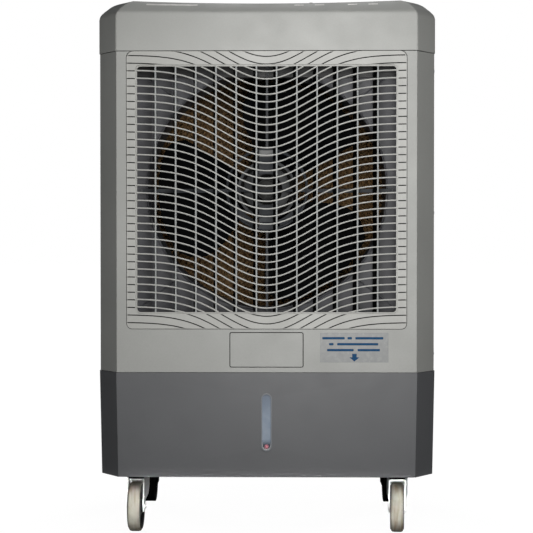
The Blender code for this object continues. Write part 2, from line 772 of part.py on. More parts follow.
def rear_frame(finish):
    """The rear grille with a tray around the pad, which lifts out with it."""
    w, margin, bar, thickness = FRAME_HALF_WIDTH, 0.018, 0.005, 0.008
    xs = bar_lines(-w, w, margin, bar, REAR_COLUMNS)
    zs = bar_lines(FRAME_LOW, FRAME_HIGH, margin, bar, REAR_ROWS)
    at = (0, REAR_Y - thickness / 2, 0)
    grid = lattice("rear_frame", xs, zs, thickness, finish, at, FACING_FRONT)
    wall = 0.0025
    tray = [
        rectangle(-w + step, FRAME_LOW + step, w - step, FRAME_HIGH - step)
        for step in (GAP, GAP + wall)
    ]
    front, back = 0.139, REAR_Y - 0.0045
    sides = outline("rear_tray", tray, back - front, finish, (0, (front + back) / 2, 0), FACING_FRONT)
    frame = join(grid, sides)
    for name, z in (("tray_top", FRAME_HIGH), ("tray_drain", FRAME_LOW)):
        for i in range(3):
            x = (i - 1) * 0.160
            slot = (x - 0.065, 0.152, z - 0.010), (x + 0.065, 0.188, z + 0.010)
            cut(frame, box(f"{name}_{i}", *slot, finish))
    return frame


# --- Fan ----------------------------------------------------------------------------------------


def fan_shroud(finish):
    """The wall between the fan and the louvres, with the ring that the blades turn in."""
    plate = rectangle(-0.264, MIDDLE_LOW + WALL + 0.001, 0.264, 0.870)
    hole = circle(0, FAN_Z, RING_RADIUS + 0.0013, 40)
    sheet = outline("fan_shroud", [plate, hole], 0.0025, finish, (0, SHROUD_Y, 0), FACING_FRONT)
    front = SHROUD_Y - 0.003
    ring = [circle(0, FAN_Z, RING_RADIUS + 0.0026, 40), circle(0, FAN_Z, RING_RADIUS, 40)]
    middle = (0, (front + RING_BACK) / 2, 0)
    return join(as_mesh(sheet), outline("ring", ring, RING_BACK - front, finish, middle, FACING_FRONT))


def motor_bracket(finish):
    """The crossbar, strap, guard ring, saddle plates and tie rods that hold the motor."""
    y, foot, top = BRACKET_Y, -0.1470, GUARD_RADIUS + 0.0015
    low, high = (-BAR_HALF_LENGTH, y - 0.003, FAN_Z - 0.006), (BAR_HALF_LENGTH, y + 0.003, FAN_Z + 0.001)
    bar = box("motor_bracket", low, high, finish)
    low, high = (-STRAP_HALF_WIDTH, y - 0.001, FAN_Z - top), (STRAP_HALF_WIDTH, y + 0.0032, FAN_Z + top)
    parts = [box("strap", low, high, finish)]
    for i, side in enumerate((-1, 1)):
        ends = [(0, y + 0.0012, FAN_Z + side * reach) for reach in (GUARD_RADIUS - 0.001, 0.232)]
        parts.append(rod(f"tie_rod_{i}", *ends, TIE_ROD_RADIUS, finish, 8))
        z0, z1 = sorted((FAN_Z + side * 0.2245, FAN_Z + side * 0.233))
        parts.append(box(f"rod_foot_{i}", (-0.005, y - 0.001, z0), (0.005, foot, z1), finish))
        x0, x1 = sorted((side * 0.2235, side * 0.2305))
        parts.append(box(f"bar_foot_{i}", (x0, y + 0.001, FAN_Z - 0.0055), (x1, foot, FAN_Z), finish))
    for i, (start, end) in enumerate(SADDLES):
        saddle = arc(0, FAN_Z, SADDLE_OUTER, start, end, 6) + arc(0, FAN_Z, SADDLE_INNER, end, start, 6)
        parts.append(outline(f"saddle_{i}", [saddle], 0.002, finish, (0, y + 0.0012, 0), FACING_FRONT))
    profile = circle(GUARD_RADIUS, 0, 0.0028, 6)[::-1]
    at = (0, y + 0.0012, FAN_Z)
    parts.append(as_mesh(turned("guard_ring", profile, finish, at, FACING_FRONT, 32, ring=True)))
    return join(bar, *parts)


def fan_motor(finish):
    """A round motor with a shallow front boss, a flange and a bore for its shaft at the back."""
    middle = (MOTOR_FRONT + MOTOR_BACK) / 2
    half = (MOTOR_BACK - MOTOR_FRONT) / 2
    r = MOTOR_RADIUS
    bore = SHAFT_RADIUS + 0.0006
    profile = [(0, half), (0.018, half), (0.018, half - 0.002), (0.042, half - 0.004)]
    profile += [(r, half - 0.010), (r, half - 0.015), (MOTOR_FLANGE, half - 0.015)]
    profile += [(MOTOR_FLANGE, half - 0.018), (r, half - 0.018)]
    profile += [(r, -half + 0.010), (0.042, -half + 0.004), (0.016, -half + 0.003)]
    profile += [(0.016, -half), (bore, -half), (bore, -half + 0.020), (0, -half + 0.020)]
    return turned("fan_motor", profile, finish, (0, middle, FAN_Z), FACING_FRONT, 28)


def motor_shaft(finish):
    start, end = (0, MOTOR_BACK - 0.0195, FAN_Z), (0, HUB_BACK + 0.008, FAN_Z)
    return rod("motor_shaft", start, end, SHAFT_RADIUS, finish, 14)


def fan_blade(index, finish):
    """A thin twisted blade, swept from a flat grid into a sector. Its root ends inside the hub."""
    bm = bmesh.new()
    bmesh.ops.create_grid(bm, x_segments=4, y_segments=5, size=0.5)
    centre = BLADE_FIRST + index * 2 * math.pi / BLADES
    for vert in bm.verts:
        out, across = vert.co.x + 0.5, vert.co.y
        radius = HUB_RADIUS - 0.003 + out * (BLADE_TIP - HUB_RADIUS + 0.003)
        width = BLADE_SPAN * (1 + 0.10 * math.sin(math.pi * out))
        angle = centre + across * width + BLADE_SWEEP * out * (1 - out)
        cup = BLADE_CUP * math.cos(math.pi * across)
        height = BLADE_Y + cup + across * (BLADE_RISE + BLADE_TIP_RISE * out)
        vert.co = (radius * math.cos(angle), height, FAN_Z + radius * math.sin(angle))
    bmesh.ops.recalc_face_normals(bm, faces=bm.faces)
    blade = place(f"blade_{index}", mesh_from("blade", bm), finish)
    thicken(blade, BLADE_THICKNESS)
    return as_mesh(blade)


def fan_impeller(finish):
    """The hub with its blades. Its origin is on the fan's axis."""
    half = (HUB_BACK - HUB_FRONT) / 2
    at = (0, (HUB_FRONT + HUB_BACK) / 2, FAN_Z)
    bore = SHAFT_RADIUS + 0.0006
    profile = [(bore, half), (HUB_RADIUS - 0.004, half), (HUB_RADIUS, half - 0.004)]
    profile += [(HUB_RADIUS, -half), (bore, -half)]
    hub = turned("fan_impeller", profile, finish, at, FACING_FRONT, 28, ring=True)
    return join(hub, *[fan_blade(i, finish) for i in range(BLADES)])


# --- Louvres ------------------------------------------------------------------------------------


def louvre_blade(finish):
    """One upright blade with its pivot pins and its link pin, built about the pivot."""
    half = LOUVRE_THICKNESS / 2
    blade = box("louvre", (-half, -LOUVRE_AHEAD, LOUVRE_LOW), (half, LOUVRE_BEHIND, LOUVRE_HIGH), finish)
    root = 0.004  # the pins start this far inside the blade
    for name, y, end, start, radius in (
        ("pin_low", 0, LOUVRE_LOW - 0.008, LOUVRE_LOW + root, LOUVRE_PIN),
        ("pin_high", 0, LOUVRE_HIGH + 0.008, LOUVRE_HIGH - root, LOUVRE_PIN),
        ("pin_link", LINK_ARM, LINK_LOW - 0.0015, LOUVRE_LOW + root, LINK_PIN),
    ):
        join(blade, rod(name, (0, y, end), (0, y, start), radius, finish, 6))
    solid = as_mesh(blade)
    solid.data.transform(solid.matrix_world)
    mesh = solid.data
    bpy.data.objects.remove(solid)
    return mesh


def louvres(finish):
    mesh = louvre_blade(finish)
    for i, x in enumerate(upright_positions()):
        place(f"louvre_{i + 1:02d}", mesh, finish, (x, LOUVRE_PIVOT_Y, 0), (0, 0, LOUVRE_REST))


def louvre_rail(name, low, high, finish):
    """A rail with a bearing hole for each louvre pin."""
    front, back = LOUVRE_PIVOT_Y - 0.005, LOUVRE_PIVOT_Y + 0.0065
    holes = [circle(x, LOUVRE_PIVOT_Y, LOUVRE_PIN + 0.0009, 6) for x in upright_positions()]
    edge = rectangle(-RAIL_HALF_LENGTH, front, RAIL_HALF_LENGTH, back)
    return outline(name, [edge, *holes], high - low, finish, (0, 0, (low + high) / 2))


def link_pin_at(x):
    """Where the link pin of the louvre at x stands at rest."""
    return (
        x - LINK_ARM * math.sin(LOUVRE_REST),
        LOUVRE_PIVOT_Y + LINK_ARM * math.cos(LOUVRE_REST),
    )


def louvre_link(finish):
    """The bar that joins the link pins. Its origin is on the first louvre's link pin."""
    pins = [link_pin_at(x) for x in upright_positions()]
    (x0, y0), (x1, _) = pins[0], pins[-1]
    holes = [circle(x - x0, y - y0, LINK_PIN + 0.0008, 6) for x, y in pins]
    edge = rectangle(-0.007, -0.0045, x1 - x0 + 0.007, 0.0045)
    at = (x0, y0, (LINK_LOW + LINK_HIGH) / 2)
    return outline("louvre_link", [edge, *holes], LINK_HIGH - LINK_LOW, finish, at)


def louvre_motor(finish):
    """The small gear motor that swings the louvres, on an arm from the front panel."""
    _, y = link_pin_at(0)
    profile = [(0, -0.012), (0.0038, -0.012), (0.0038, 0), (0.0185, 0), (0.0200, -0.0015)]
    profile += [(0.0200, -0.022), (0, -0.022)]
    motor = turned("louvre_motor", profile, finish, (CRANK_X, y, CRANK_TOP - 0.004), (0, 0, 0), 20)
    front = -HALF_DEPTH + INSET + WALL + GAP
    low, high = (CRANK_X - 0.012, front, 0.3620), (CRANK_X + 0.012, y - 0.018, 0.3745)
    return join(motor, box("motor_arm", low, high, finish))


def louvre_crank(finish):
    """The crank disc on the louvre motor, with its pin. Its origin is on the motor's axis."""
    _, y = link_pin_at(0)
    profile = [(0, 0), (0.0165, 0), (0.0165, -0.003), (0.0032, -0.003), (0.0032, -0.0145), (0, -0.0145)]
    crank = turned("louvre_crank", profile, finish, (CRANK_X, y, CRANK_TOP), (0, 0, 0), 16)
    x = CRANK_X + CRANK_THROW
    pin = rod("crank_pin", (x, y, CRANK_TOP - 0.001), (x, y, CRANK_PIN_TOP), 0.002, finish, 8)
    return join(crank, pin)


# --- Casters ------------------------------------------------------------------------------------


def leg_outline(top, front, back, shoulder, axle_y, reach):
    """Side view of a fork leg: wide at the top and round about the axle."""
    bottom = arc(axle_y, WHEEL_RADIUS, reach, 180, 360, 6)
    return [(back, top), (front, top), *bottom, (back, shoulder)]


def fork_legs(name, legs, half_width, finish):
    """The two legs of a fork, as hidden shapes to be joined to its top plate."""
    shift = half_width - FORK_SHEET / 2
    return [
        outline(f"{name}_leg_{i}", [legs], FORK_SHEET, finish, (side * shift, 0, 0), FACING_SIDE)
        for i, side in enumerate((-1, 1))
    ]


def swivel_fork(name, finish):
    """The turning fork of a front caster, built about its swivel axis with the wheel ahead of it."""
    top, back = FORK_TOP, FORK_BACK
    legs = leg_outline(top, -0.027, back, 0.076, -TRAIL, 0.010)
    fork = box(name, (-FORK_HALF_WIDTH, -0.027, top - 0.003), (FORK_HALF_WIDTH, back, top), finish)
    join(fork, *fork_legs(name, legs, FORK_HALF_WIDTH, finish))
    join(fork, rod(name + "_race", (0, 0, top - 0.001), (0, 0, HOUSING_LOW - 0.0006), 0.021, finish, 20))
    cut(fork, rod(name + "_pin_hole", (0, 0, 0.085), (0, 0, 0.110), 0.0056, finish, 12))
    ends = [(x, -TRAIL, WHEEL_RADIUS) for x in (-0.03, 0.03)]
    return cut(fork, rod(name + "_axle_hole", *ends, AXLE + GAP, finish, 12))


def caster_plate(name, x, finish):
    """The fixed plate and bearing housing of a front caster, with its king pin."""
    y = SWIVEL_Y
    high = TANK_BOTTOM - GAP
    plate = box(name, (x - 0.029, y - 0.029, high - 0.0025), (x + 0.029, y + 0.029, high), finish)
    join(plate, rod(name + "_housing", (x, y, HOUSING_LOW), (x, y, high - 0.001), 0.023, finish, 20))
    under = FORK_TOP - 0.003 - GAP
    join(plate, rod(name + "_king_pin", (x, y, under - 0.001), (x, y, HOUSING_LOW + 0.002), 0.005, finish, 12))
    return join(plate, rod(name + "_rivet", (x, y, under - 0.0026), (x, y, under), 0.008, finish, 12))


def wheel(name, middle, yaw, finish):
    """A caster wheel. Its origin is on its axle, and a facet of its tread faces the floor."""
    r = WHEEL_RADIUS / math.cos(math.pi / WHEEL_FACETS)
    w = WHEEL_HALF_WIDTH
    side = [(AXLE + 0.0006, w), (0.034, w - 0.003), (r - 0.003, w), (r, w - 0.003)]
    profile = side + [(radius, -height) for radius, height in reversed(side)]
    return turned(name, profile, finish, middle, (math.pi / 2, 0, math.pi / 2 + yaw), WHEEL_FACETS, ring=True)


def axle_bolt(name, middle, yaw, half_length, finish):
    """A bolt and nut through the legs of a fork."""
    head, thick = 0.0072, 0.004
    end = half_length + thick
    profile = [(0, end), (head, end), (head, half_length), (AXLE, half_length), (AXLE, -half_length)]
    profile += [(head, -half_length), (head, -end), (0, -end)]
    return turned(name, profile, finish, middle, (math.pi / 2, 0, math.pi / 2 + yaw), 12)


def front_caster(side_name, side, metal, tyre, black):
    x, yaw = side * SWIVEL_X, YAW[side_name]
    caster_plate(f"caster_plate_{side_name}", x, black)
    fork = as_mesh(swivel_fork(f"caster_fork_{side_name}", metal))
    fork.data.transform(fork.matrix_world)
    fork.matrix_world = Matrix.Translation((x, SWIVEL_Y, 0)) @ Matrix.Rotation(yaw, 4, "Z")
    middle = fork.matrix_world @ Vector((0, -TRAIL, WHEEL_RADIUS))
    wheel(f"caster_wheel_{side_name}", middle, yaw, tyre)
    axle_bolt(f"caster_axle_{side_name}", middle, yaw, FORK_HALF_WIDTH + GAP, metal)


def rear_caster(side_name, side, black):
    """A rigid caster: plate, legs and riveted axle in one piece, and its wheel."""
    name = f"rear_fork_{side_name}"
    high = TANK_BOTTOM - GAP
    middle = Vector((side * REAR_WHEEL_X, REAR_WHEEL_Y, WHEEL_RADIUS))
    legs = leg_outline(high - 0.001, -0.024, 0.024, 0.084, 0, 0.011)
    fork = box(name, (-0.028, -0.030, high - 0.0025), (0.028, 0.030, high), black)
    half_width = WHEEL_HALF_WIDTH + 0.0015 + FORK_SHEET
    join(fork, *fork_legs(name, legs, half_width, black))
    end = half_width + 0.002
    join(fork, rod(name + "_axle", (-end, 0, WHEEL_RADIUS), (end, 0, WHEEL_RADIUS), AXLE, black, 12))
    fork = as_mesh(fork)
    fork.data.transform(fork.matrix_world)
    fork.matrix_world = Matrix.Translation((middle.x, middle.y, 0))
    wheel(f"rear_wheel_{side_name}", middle, 0, black)


def build():
    clear_scene()
    light = material("light_grey_plastic", (0.50, 0.51, 0.48), 0.5)
    dark = material("dark_grey_plastic", (0.125, 0.13, 0.135), 0.5)
    black = material("black_plastic", (0.015, 0.015, 0.016), 0.45)
    inner = material("inner_grey_plastic", (0.10, 0.105, 0.115), 0.5)
    zinc = material("zinc_plate", (0.75, 0.77, 0.78), 0.3, 1.0)
    motor_grey = material("motor_paint", (0.20, 0.21, 0.21), 0.45, 0.4)
    tyre = material("grey_rubber", (0.42, 0.40, 0.35), 0.6)
    clear = material("clear_plastic", (0.36, 0.42, 0.50), 0.1)
    red = material("red_plastic", (0.75, 0.12, 0.14), 0.4)
    pad = material("cellulose_pad", (0.30, 0.17, 0.08), 0.9)
    white = material("white_plastic", (0.75, 0.75, 0.73), 0.4)

    water_tank(dark)
    top_cover(light)
    control_panel(dark)
    for name, x in KNOBS.items():
        knob(name, x, white)
    front_panel(light)
    front_badge(light)
    front_grille(light)
    for side_name, side in (("left", -1), ("right", 1)):
        side_panel(f"side_panel_{side_name}", side, light)
        grip_cup(f"grip_cup_{side_name}", side, dark)
        front_caster(side_name, side, zinc, tyre, black)
        rear_caster(side_name, side, black)
    base_deck(inner)

    sight_glass(clear)
    level_float(red)
    fill_door(dark)
    drain_plug(black)
    float_valve(white)
    float_arm(white)
    pump(black)
    pump_hose(white)
    water_distributor(white)
    storage_door(dark)
    cooling_pad(pad)
    rear_frame(light)

    fan_shroud(inner)
    motor_bracket(motor_grey)
    fan_motor(motor_grey)
    motor_shaft(zinc)
    fan_impeller(black)

    louvres(black)
    louvre_rail("louvre_rail_low", 0.3925, 0.3985, inner)
    louvre_rail("louvre_rail_high", 0.8525, 0.8585, inner)
    louvre_link(black)
    louvre_motor(white)
    louvre_crank(white)


build()
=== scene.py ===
"""Looks for the portable evaporative cooler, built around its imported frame. Metres, front towards -Y."""

import math

import bmesh
import bpy
from mathutils import Matrix, Vector


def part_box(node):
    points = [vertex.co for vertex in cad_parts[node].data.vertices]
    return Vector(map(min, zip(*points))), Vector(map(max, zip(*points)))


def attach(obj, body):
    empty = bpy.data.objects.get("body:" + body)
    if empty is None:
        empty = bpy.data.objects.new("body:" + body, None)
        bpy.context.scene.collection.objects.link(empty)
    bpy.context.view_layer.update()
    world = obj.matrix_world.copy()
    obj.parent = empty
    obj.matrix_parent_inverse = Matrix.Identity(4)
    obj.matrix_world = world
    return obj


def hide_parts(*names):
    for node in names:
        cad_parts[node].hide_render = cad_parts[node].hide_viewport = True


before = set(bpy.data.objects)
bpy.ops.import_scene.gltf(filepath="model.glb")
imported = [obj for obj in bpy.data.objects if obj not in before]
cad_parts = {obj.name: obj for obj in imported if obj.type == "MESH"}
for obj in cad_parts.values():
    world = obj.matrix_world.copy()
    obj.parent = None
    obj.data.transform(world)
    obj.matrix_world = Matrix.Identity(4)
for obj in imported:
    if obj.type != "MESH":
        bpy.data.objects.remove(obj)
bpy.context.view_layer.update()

# Camera and backdrop
CAMERA_AHEAD = 2.53  # in front of the grille
CAMERA_SIDE = 0.042
CAMERA_HEIGHT = 0.529
CAMERA_LENS = 95.5
CAMERA_TILT = math.radians(0.95)
CAMERA_TURN = math.radians(0.95)
SENSOR_WIDTH = 36
ROOM_LIGHT = 0.035
FLOOR_BOUNCE = 0.14
FLOOR_SIZE = 30
FLOOR_DROP = 0.0004  # keeps the floor clear of the wheels

# Front grille
FIELD_LOW, FIELD_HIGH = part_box("front_grille")
FACE_Y = FIELD_LOW[1]
FIELD_HALF = FIELD_HIGH[0]
FIELD_TOP_RADIUS = 0.012
FIELD_FOOT_RADIUS = 0.009
OPENING_HALF = 0.2320
OPENING_LOW = 0.405
OPENING_HIGH = 0.845
OPENING_RADIUS = 0.006
UPRIGHTS = 12
UPRIGHT_PITCH = 0.0362
UPRIGHT_WIDTH = 0.0031
WAVE_BASE = 0.8385  # a wave's height far from the middle, for wave number 0
WAVE_PITCH = 0.01366
WAVE_DIP = 0.0708
WAVE_REACH = 0.107
WAVE_THICKNESS = 0.0026
GROOVE_WIDTH = 0.0019
GROOVE_DROP = 0.0011  # the grooves line up with the bars' lower edges
GROOVE_DEPTH = 0.0020
SEAM = 0.0010  # gap around the grille's field

# Fan
FAN_Z = 0.627
FAN_Y = -0.062
SHROUD_Y = -0.145
SHROUD_FRONT = -0.1470
LINTEL_SHADE_HALF = 0.240
RING_RADIUS = 0.2175
BLADES = 3
BLADE_FIRST = math.radians(65)
BLADE_TIP = 0.207
HUB_RADIUS = 0.055
HUB_RIBS = 9
MOTOR_RADIUS = 0.0486
MOTOR_FLANGE = 0.0545
MOTOR_FINS = 36
GUARD_RADIUS = 0.073
BRACKET_Y = -0.1528

# Cooling pad
FLUTE_PITCH = 0.0065
FLUTE_WAVE = 0.013
PAD_SKIN = 0.009  # the flutes are modelled this deep from each face
SLATS = 26

# Casters
SHEET_METAL = 0.0025
FORK_LENGTH = 0.08
AXLE_RADIUS = 0.0040
WHEEL_RADIUS = 0.045
WHEEL_HALF = 0.0125
REAR_WHEEL_HALF = 0.0128
WHEEL_WEBS = 6
TRAIL = 0.028
FORK_FLARE = 0.0036  # the fork widens this much behind the wheel, on each side
YAW = {"left": 0.0, "right": math.radians(-4.5)}

TO_FRONT = Matrix.Rotation(math.pi / 2, 4, "X")  # local Y goes up and local Z to the front
TO_SIDE = Matrix(((0, 0, 1, 0), (1, 0, 0, 0), (0, 1, 0, 0), (0, 0, 0, 1)))  # local Z goes to +X
HALF_TURN = Matrix.Rotation(math.pi, 4, "Z")
FLIP = Matrix.Rotation(math.pi, 4, "Y")


# --- Materials ----------------------------------------------------------------------------------


def new_material(name):
    finish = bpy.data.materials.new(name)
    finish.use_nodes = True
    return finish, finish.node_tree, finish.node_tree.nodes["Principled BSDF"]


def add(tree, kind, inputs=None, **attributes):
    """Adds a shader node. A socket given as an input is linked, and any other value is set."""
    made = tree.nodes.new("ShaderNode" + kind)
    for name, value in attributes.items():
        setattr(made, name, value)
    for key, value in (inputs or {}).items():
        if isinstance(value, bpy.types.NodeSocket):
            tree.links.new(value, made.inputs[key])
        else:
            made.inputs[key].default_value = value
    return made


def noise(tree, scale, detail=4.0, stretch=(1, 1, 1)):
    """Noise in object space, about 0.5, as a socket."""
    place = add(tree, "Mapping", {"Vector": add(tree, "TexCoord").outputs["Object"], "Scale": stretch})
    inputs = {"Vector": place.outputs[0], "Scale": scale, "Detail": detail}
    return add(tree, "TexNoise", inputs).outputs["Fac"]


def remap(tree, value, low, high, to_low=0.0, to_high=1.0):
    inputs = {"Value": value, "From Min": low, "From Max": high, "To Min": to_low, "To Max": to_high}
    return add(tree, "MapRange", inputs).outputs["Result"]


def blend_colours(tree, factor, first, second):
    """A colour between two others, each a socket or an RGB triple."""
    inputs = {0: factor}
    for key, colour in ((6, first), (7, second)):
        inputs[key] = colour if isinstance(colour, bpy.types.NodeSocket) else (*colour, 1)
    return add(tree, "Mix", inputs, data_type="RGBA").outputs[2]


def shaded(colour, factor):
    return tuple(min(1.0, part * factor) for part in colour)


def bump(tree, shader, height, strength, distance):
    made = add(tree, "Bump", {"Strength": strength, "Distance": distance, "Height": height})
    tree.links.new(made.outputs[0], shader.inputs["Normal"])


def edge_wear(tree):
    """1 along convex edges and 0 elsewhere."""
    return remap(tree, add(tree, "NewGeometry").outputs["Pointiness"], 0.53, 0.60)


def height_of(tree):
    """The height above the floor, in the piece's own space."""
    return add(tree, "SeparateXYZ", {0: add(tree, "TexCoord").outputs["Object"]}).outputs["Z"]


def multiplied(tree, first, second):
    return add(tree, "Math", {0: first, 1: second}, operation="MULTIPLY").outputs[0]


def paint(tree, shader, colour, roughness):
    tree.links.new(colour, shader.inputs["Base Color"])
    tree.links.new(roughness, shader.inputs["Roughness"])


def moulded(name, colour, roughness, mottle=0.06, wear=0.25, specular=0.5):
    """Moulded plastic: a fine spark-eroded grain, faint flow marks, dust and rubbed edges."""
    finish, tree, shader = new_material(name)
    cloud = remap(tree, noise(tree, 7, 5), 0.3, 0.7)
    base = blend_colours(tree, cloud, shaded(colour, 1 - mottle), shaded(colour, 1 + mottle))
    speck = remap(tree, noise(tree, 420, 2), 0.35, 0.75, 0.0, 0.35)
    base = blend_colours(tree, speck, base, shaded(colour, 0.86))
    base = blend_colours(tree, multiplied(tree, edge_wear(tree), wear), base, shaded(colour, 1.35))
    paint(tree, shader, base, remap(tree, noise(tree, 24, 3), 0.3, 0.7, roughness - 0.05, roughness + 0.07))
    shader.inputs["Specular IOR Level"].default_value = specular
    bump(tree, shader, noise(tree, 1500, 2), 0.25, 0.00025)
    return finish


def zinc_plate(name="zinc_plating", shade=1.0):
    """Zinc plating with faint spangles and brown stains."""
    finish, tree, shader = new_material(name)
    cloud = remap(tree, noise(tree, 60, 4), 0.3, 0.7)
    base = blend_colours(tree, cloud, shaded((0.84, 0.87, 0.88), shade), shaded((0.94, 0.95, 0.94), shade))
    stain = remap(tree, noise(tree, 130, 6), 0.58, 0.75, 0.0, 0.35)
    base = blend_colours(tree, stain, base, shaded((0.36, 0.33, 0.28), shade))
    paint(tree, shader, base, remap(tree, noise(tree, 90, 5), 0.3, 0.7, 0.30, 0.46))
    shader.inputs["Metallic"].default_value = 0.35
    bump(tree, shader, noise(tree, 700, 3, (1, 1, 0.1)), 0.15, 0.0002)
    return finish


def motor_paint(name="motor_enamel", colour=(0.032, 0.033, 0.032)):
    """Dark enamel with dust and rubbed edges."""
    finish, tree, shader = new_material(name)
    cloud = remap(tree, noise(tree, 35, 5), 0.3, 0.7)
    base = blend_colours(tree, cloud, shaded(colour, 0.75), shaded(colour, 1.25))
    dust = remap(tree, noise(tree, 200, 4), 0.55, 0.8, 0.0, 0.35)
    base = blend_colours(tree, dust, base, (0.12, 0.113, 0.106))
    worn = blend_colours(tree, edge_wear(tree), base, (0.14, 0.146, 0.155))
    paint(tree, shader, worn, remap(tree, noise(tree, 50, 3), 0.3, 0.7, 0.32, 0.5))
    shader.inputs["Specular IOR Level"].default_value = 0.10
    bump(tree, shader, noise(tree, 900, 3), 0.2, 0.0002)
    return finish


def tyre_rubber():
    """A pale tread with brown scuffs that run around it."""
    finish, tree, shader = new_material("tyre_rubber")
    cloud = remap(tree, noise(tree, 30, 4), 0.3, 0.7)
    base = blend_colours(tree, cloud, (0.25, 0.243, 0.205), (0.36, 0.35, 0.300))
    streaks = remap(tree, noise(tree, 1.6, 5, (120, 9, 9)), 0.44, 0.62, 0.0, 0.8)
    patches = remap(tree, noise(tree, 22, 3), 0.38, 0.56)
    base = blend_colours(tree, multiplied(tree, streaks, patches), base, (0.20, 0.145, 0.095))
    paint(tree, shader, base, remap(tree, cloud, 0, 1, 0.5, 0.68))
    bump(tree, shader, noise(tree, 500, 4), 0.35, 0.0004)
    return finish


def pad_paper():
    """Brown fibrous paper, with painted shade that darkens it towards the top."""
    finish, tree, shader = new_material("pad_paper")
    cloud = remap(tree, noise(tree, 18, 4), 0.3, 0.7)
    base = blend_colours(tree, cloud, (0.30, 0.185, 0.082), (0.46, 0.290, 0.138))
    fibre = remap(tree, noise(tree, 260, 5, (1, 1, 0.5)), 0.40, 0.7)
    base = blend_colours(tree, fibre, base, (0.27, 0.15, 0.06))
    fleck = remap(tree, noise(tree, 170, 5), 0.56, 0.70, 0.0, 0.5)
    base = blend_colours(tree, fleck, base, (0.70, 0.55, 0.34))
    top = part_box("cooling_pad")[1][2]
    # Painted shade: the paper darkens towards the top, as in the shadow of the fan ring.
    pad_top_shade = remap(tree, height_of(tree), top - 0.090, top - 0.030, 0.0, 0.8)
    base = blend_colours(tree, pad_top_shade, base, (0.060, 0.036, 0.018))
    tree.links.new(base, shader.inputs["Base Color"])
    shader.inputs["Roughness"].default_value = 0.9
    bump(tree, shader, noise(tree, 500, 4), 0.5, 0.0006)
    return finish


def lens_plastic():
    """The gauge's milky blue window: dim at the top, palest in the middle and clearest over the float."""
    finish, tree, shader = new_material("gauge_lens")
    cloud = remap(tree, noise(tree, 45, 3), 0.3, 0.7)
    base = blend_colours(tree, cloud, (0.33, 0.41, 0.52), (0.44, 0.51, 0.61))
    height = height_of(tree)
    (_, _, low), (_, _, high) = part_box("sight_glass")
    dim = remap(tree, height, low + 0.62 * (high - low), high, 0.0, 0.75)
    base = blend_colours(tree, dim, base, (0.17, 0.21, 0.28))
    tree.links.new(base, shader.inputs["Base Color"])
    shader.inputs["Roughness"].default_value = 0.22
    tree.links.new(remap(tree, height, low + 0.010, low + 0.020, 0.10, 0.72), shader.inputs["Alpha"])
    return finish


def film(name, colour, specular=0.5):
    """A thin printed film."""
    finish, tree, shader = new_material(name)
    shader.inputs["Specular IOR Level"].default_value = specular
    cloud = remap(tree, noise(tree, 90, 3), 0.3, 0.7)
    base = blend_colours(tree, cloud, shaded(colour, 0.92), shaded(colour, 1.08))
    paint(tree, shader, base, remap(tree, cloud, 0, 1, 0.20, 0.30))
    return finish


LIGHT = moulded("light_grey_moulding", (0.405, 0.412, 0.395), 0.42, specular=0.6)
# Near-black finish for painted shade: thin sheets set in seams, gaps and groove bottoms where shade falls.
SEAM_SHADE = moulded("seam_shadow", (0.010, 0.010, 0.0095), 0.8, mottle=0.2, wear=0.0, specular=0.1)
GRILLE = moulded("grille_moulding", (0.48, 0.483, 0.460), 0.40, mottle=0.04, specular=0.6)
# A darker copy of the grille moulding for the uprights: painted shade.
GRILLE_SHADED = moulded("grille_moulding_shaded", (0.345, 0.36, 0.36), 0.46, mottle=0.04, specular=0.5)
DARK = moulded("dark_grey_moulding", (0.122, 0.126, 0.133), 0.42, mottle=0.09, wear=0.35, specular=0.6)
BLACK = moulded("black_moulding", (0.012, 0.012, 0.0125), 0.42, mottle=0.2, wear=0.06)
BLADE_BLACK = moulded("blade_moulding", (0.0032, 0.0036, 0.0042), 0.50, mottle=0.2, wear=0.04, specular=0.03)
RUBBER = moulded("black_rubber", (0.006, 0.006, 0.0058), 0.75, mottle=0.2, wear=0.0, specular=0.06)
BEZEL = moulded("gauge_bezel", (0.20, 0.215, 0.235), 0.35, mottle=0.08)
INNER = moulded("inner_grey_moulding", (0.080, 0.081, 0.091), 0.5, mottle=0.14)
WHITE = moulded("white_moulding", (0.62, 0.62, 0.59), 0.38, mottle=0.03)
ZINC = zinc_plate()
# A copy of the zinc plating at a tenth of its brightness, used only for the paler plate that paints a
# highlight on the strap's upper end.
STRAP_HIGHLIGHT = zinc_plate("strap_highlight_zinc", 0.10)
MOTOR = motor_paint()
BRACKET = motor_paint("bracket_enamel", (0.032, 0.036, 0.042))
TYRE = tyre_rubber()
PAD = pad_paper()
LENS = lens_plastic()
RED = moulded("red_float", (0.98, 0.27, 0.33), 0.3, wear=0.1)
STICKER = film("sticker_film", (0.315, 0.325, 0.325), 0.3)
BLUE = film("blue_print", (0.012, 0.070, 0.175), 0.05)
PALE_PRINT = film("pale_print", (0.88, 0.86, 0.84))


# --- Mesh tools ---------------------------------------------------------------------------------


def temporary(data):
    obj = bpy.data.objects.new("temporary", data)
    bpy.context.scene.collection.objects.link(obj)
    return obj


def evaluated(obj):
    """The object's mesh with its modifiers applied and its seams welded. Removes the object."""
    bpy.context.view_layer.update()
    mesh = bpy.data.meshes.new_from_object(obj.evaluated_get(bpy.context.evaluated_depsgraph_get()))
    mesh.transform(obj.matrix_world)
    bpy.data.objects.remove(obj)
    bm = bmesh.new()
    bm.from_mesh(mesh)
    bpy.data.meshes.remove(mesh)
    bmesh.ops.remove_doubles(bm, verts=bm.verts, dist=1e-6)
    return bm


def as_mesh(bm):
    mesh = bpy.data.meshes.new("piece")
    bm.to_mesh(mesh)
    bm.free()
    return mesh


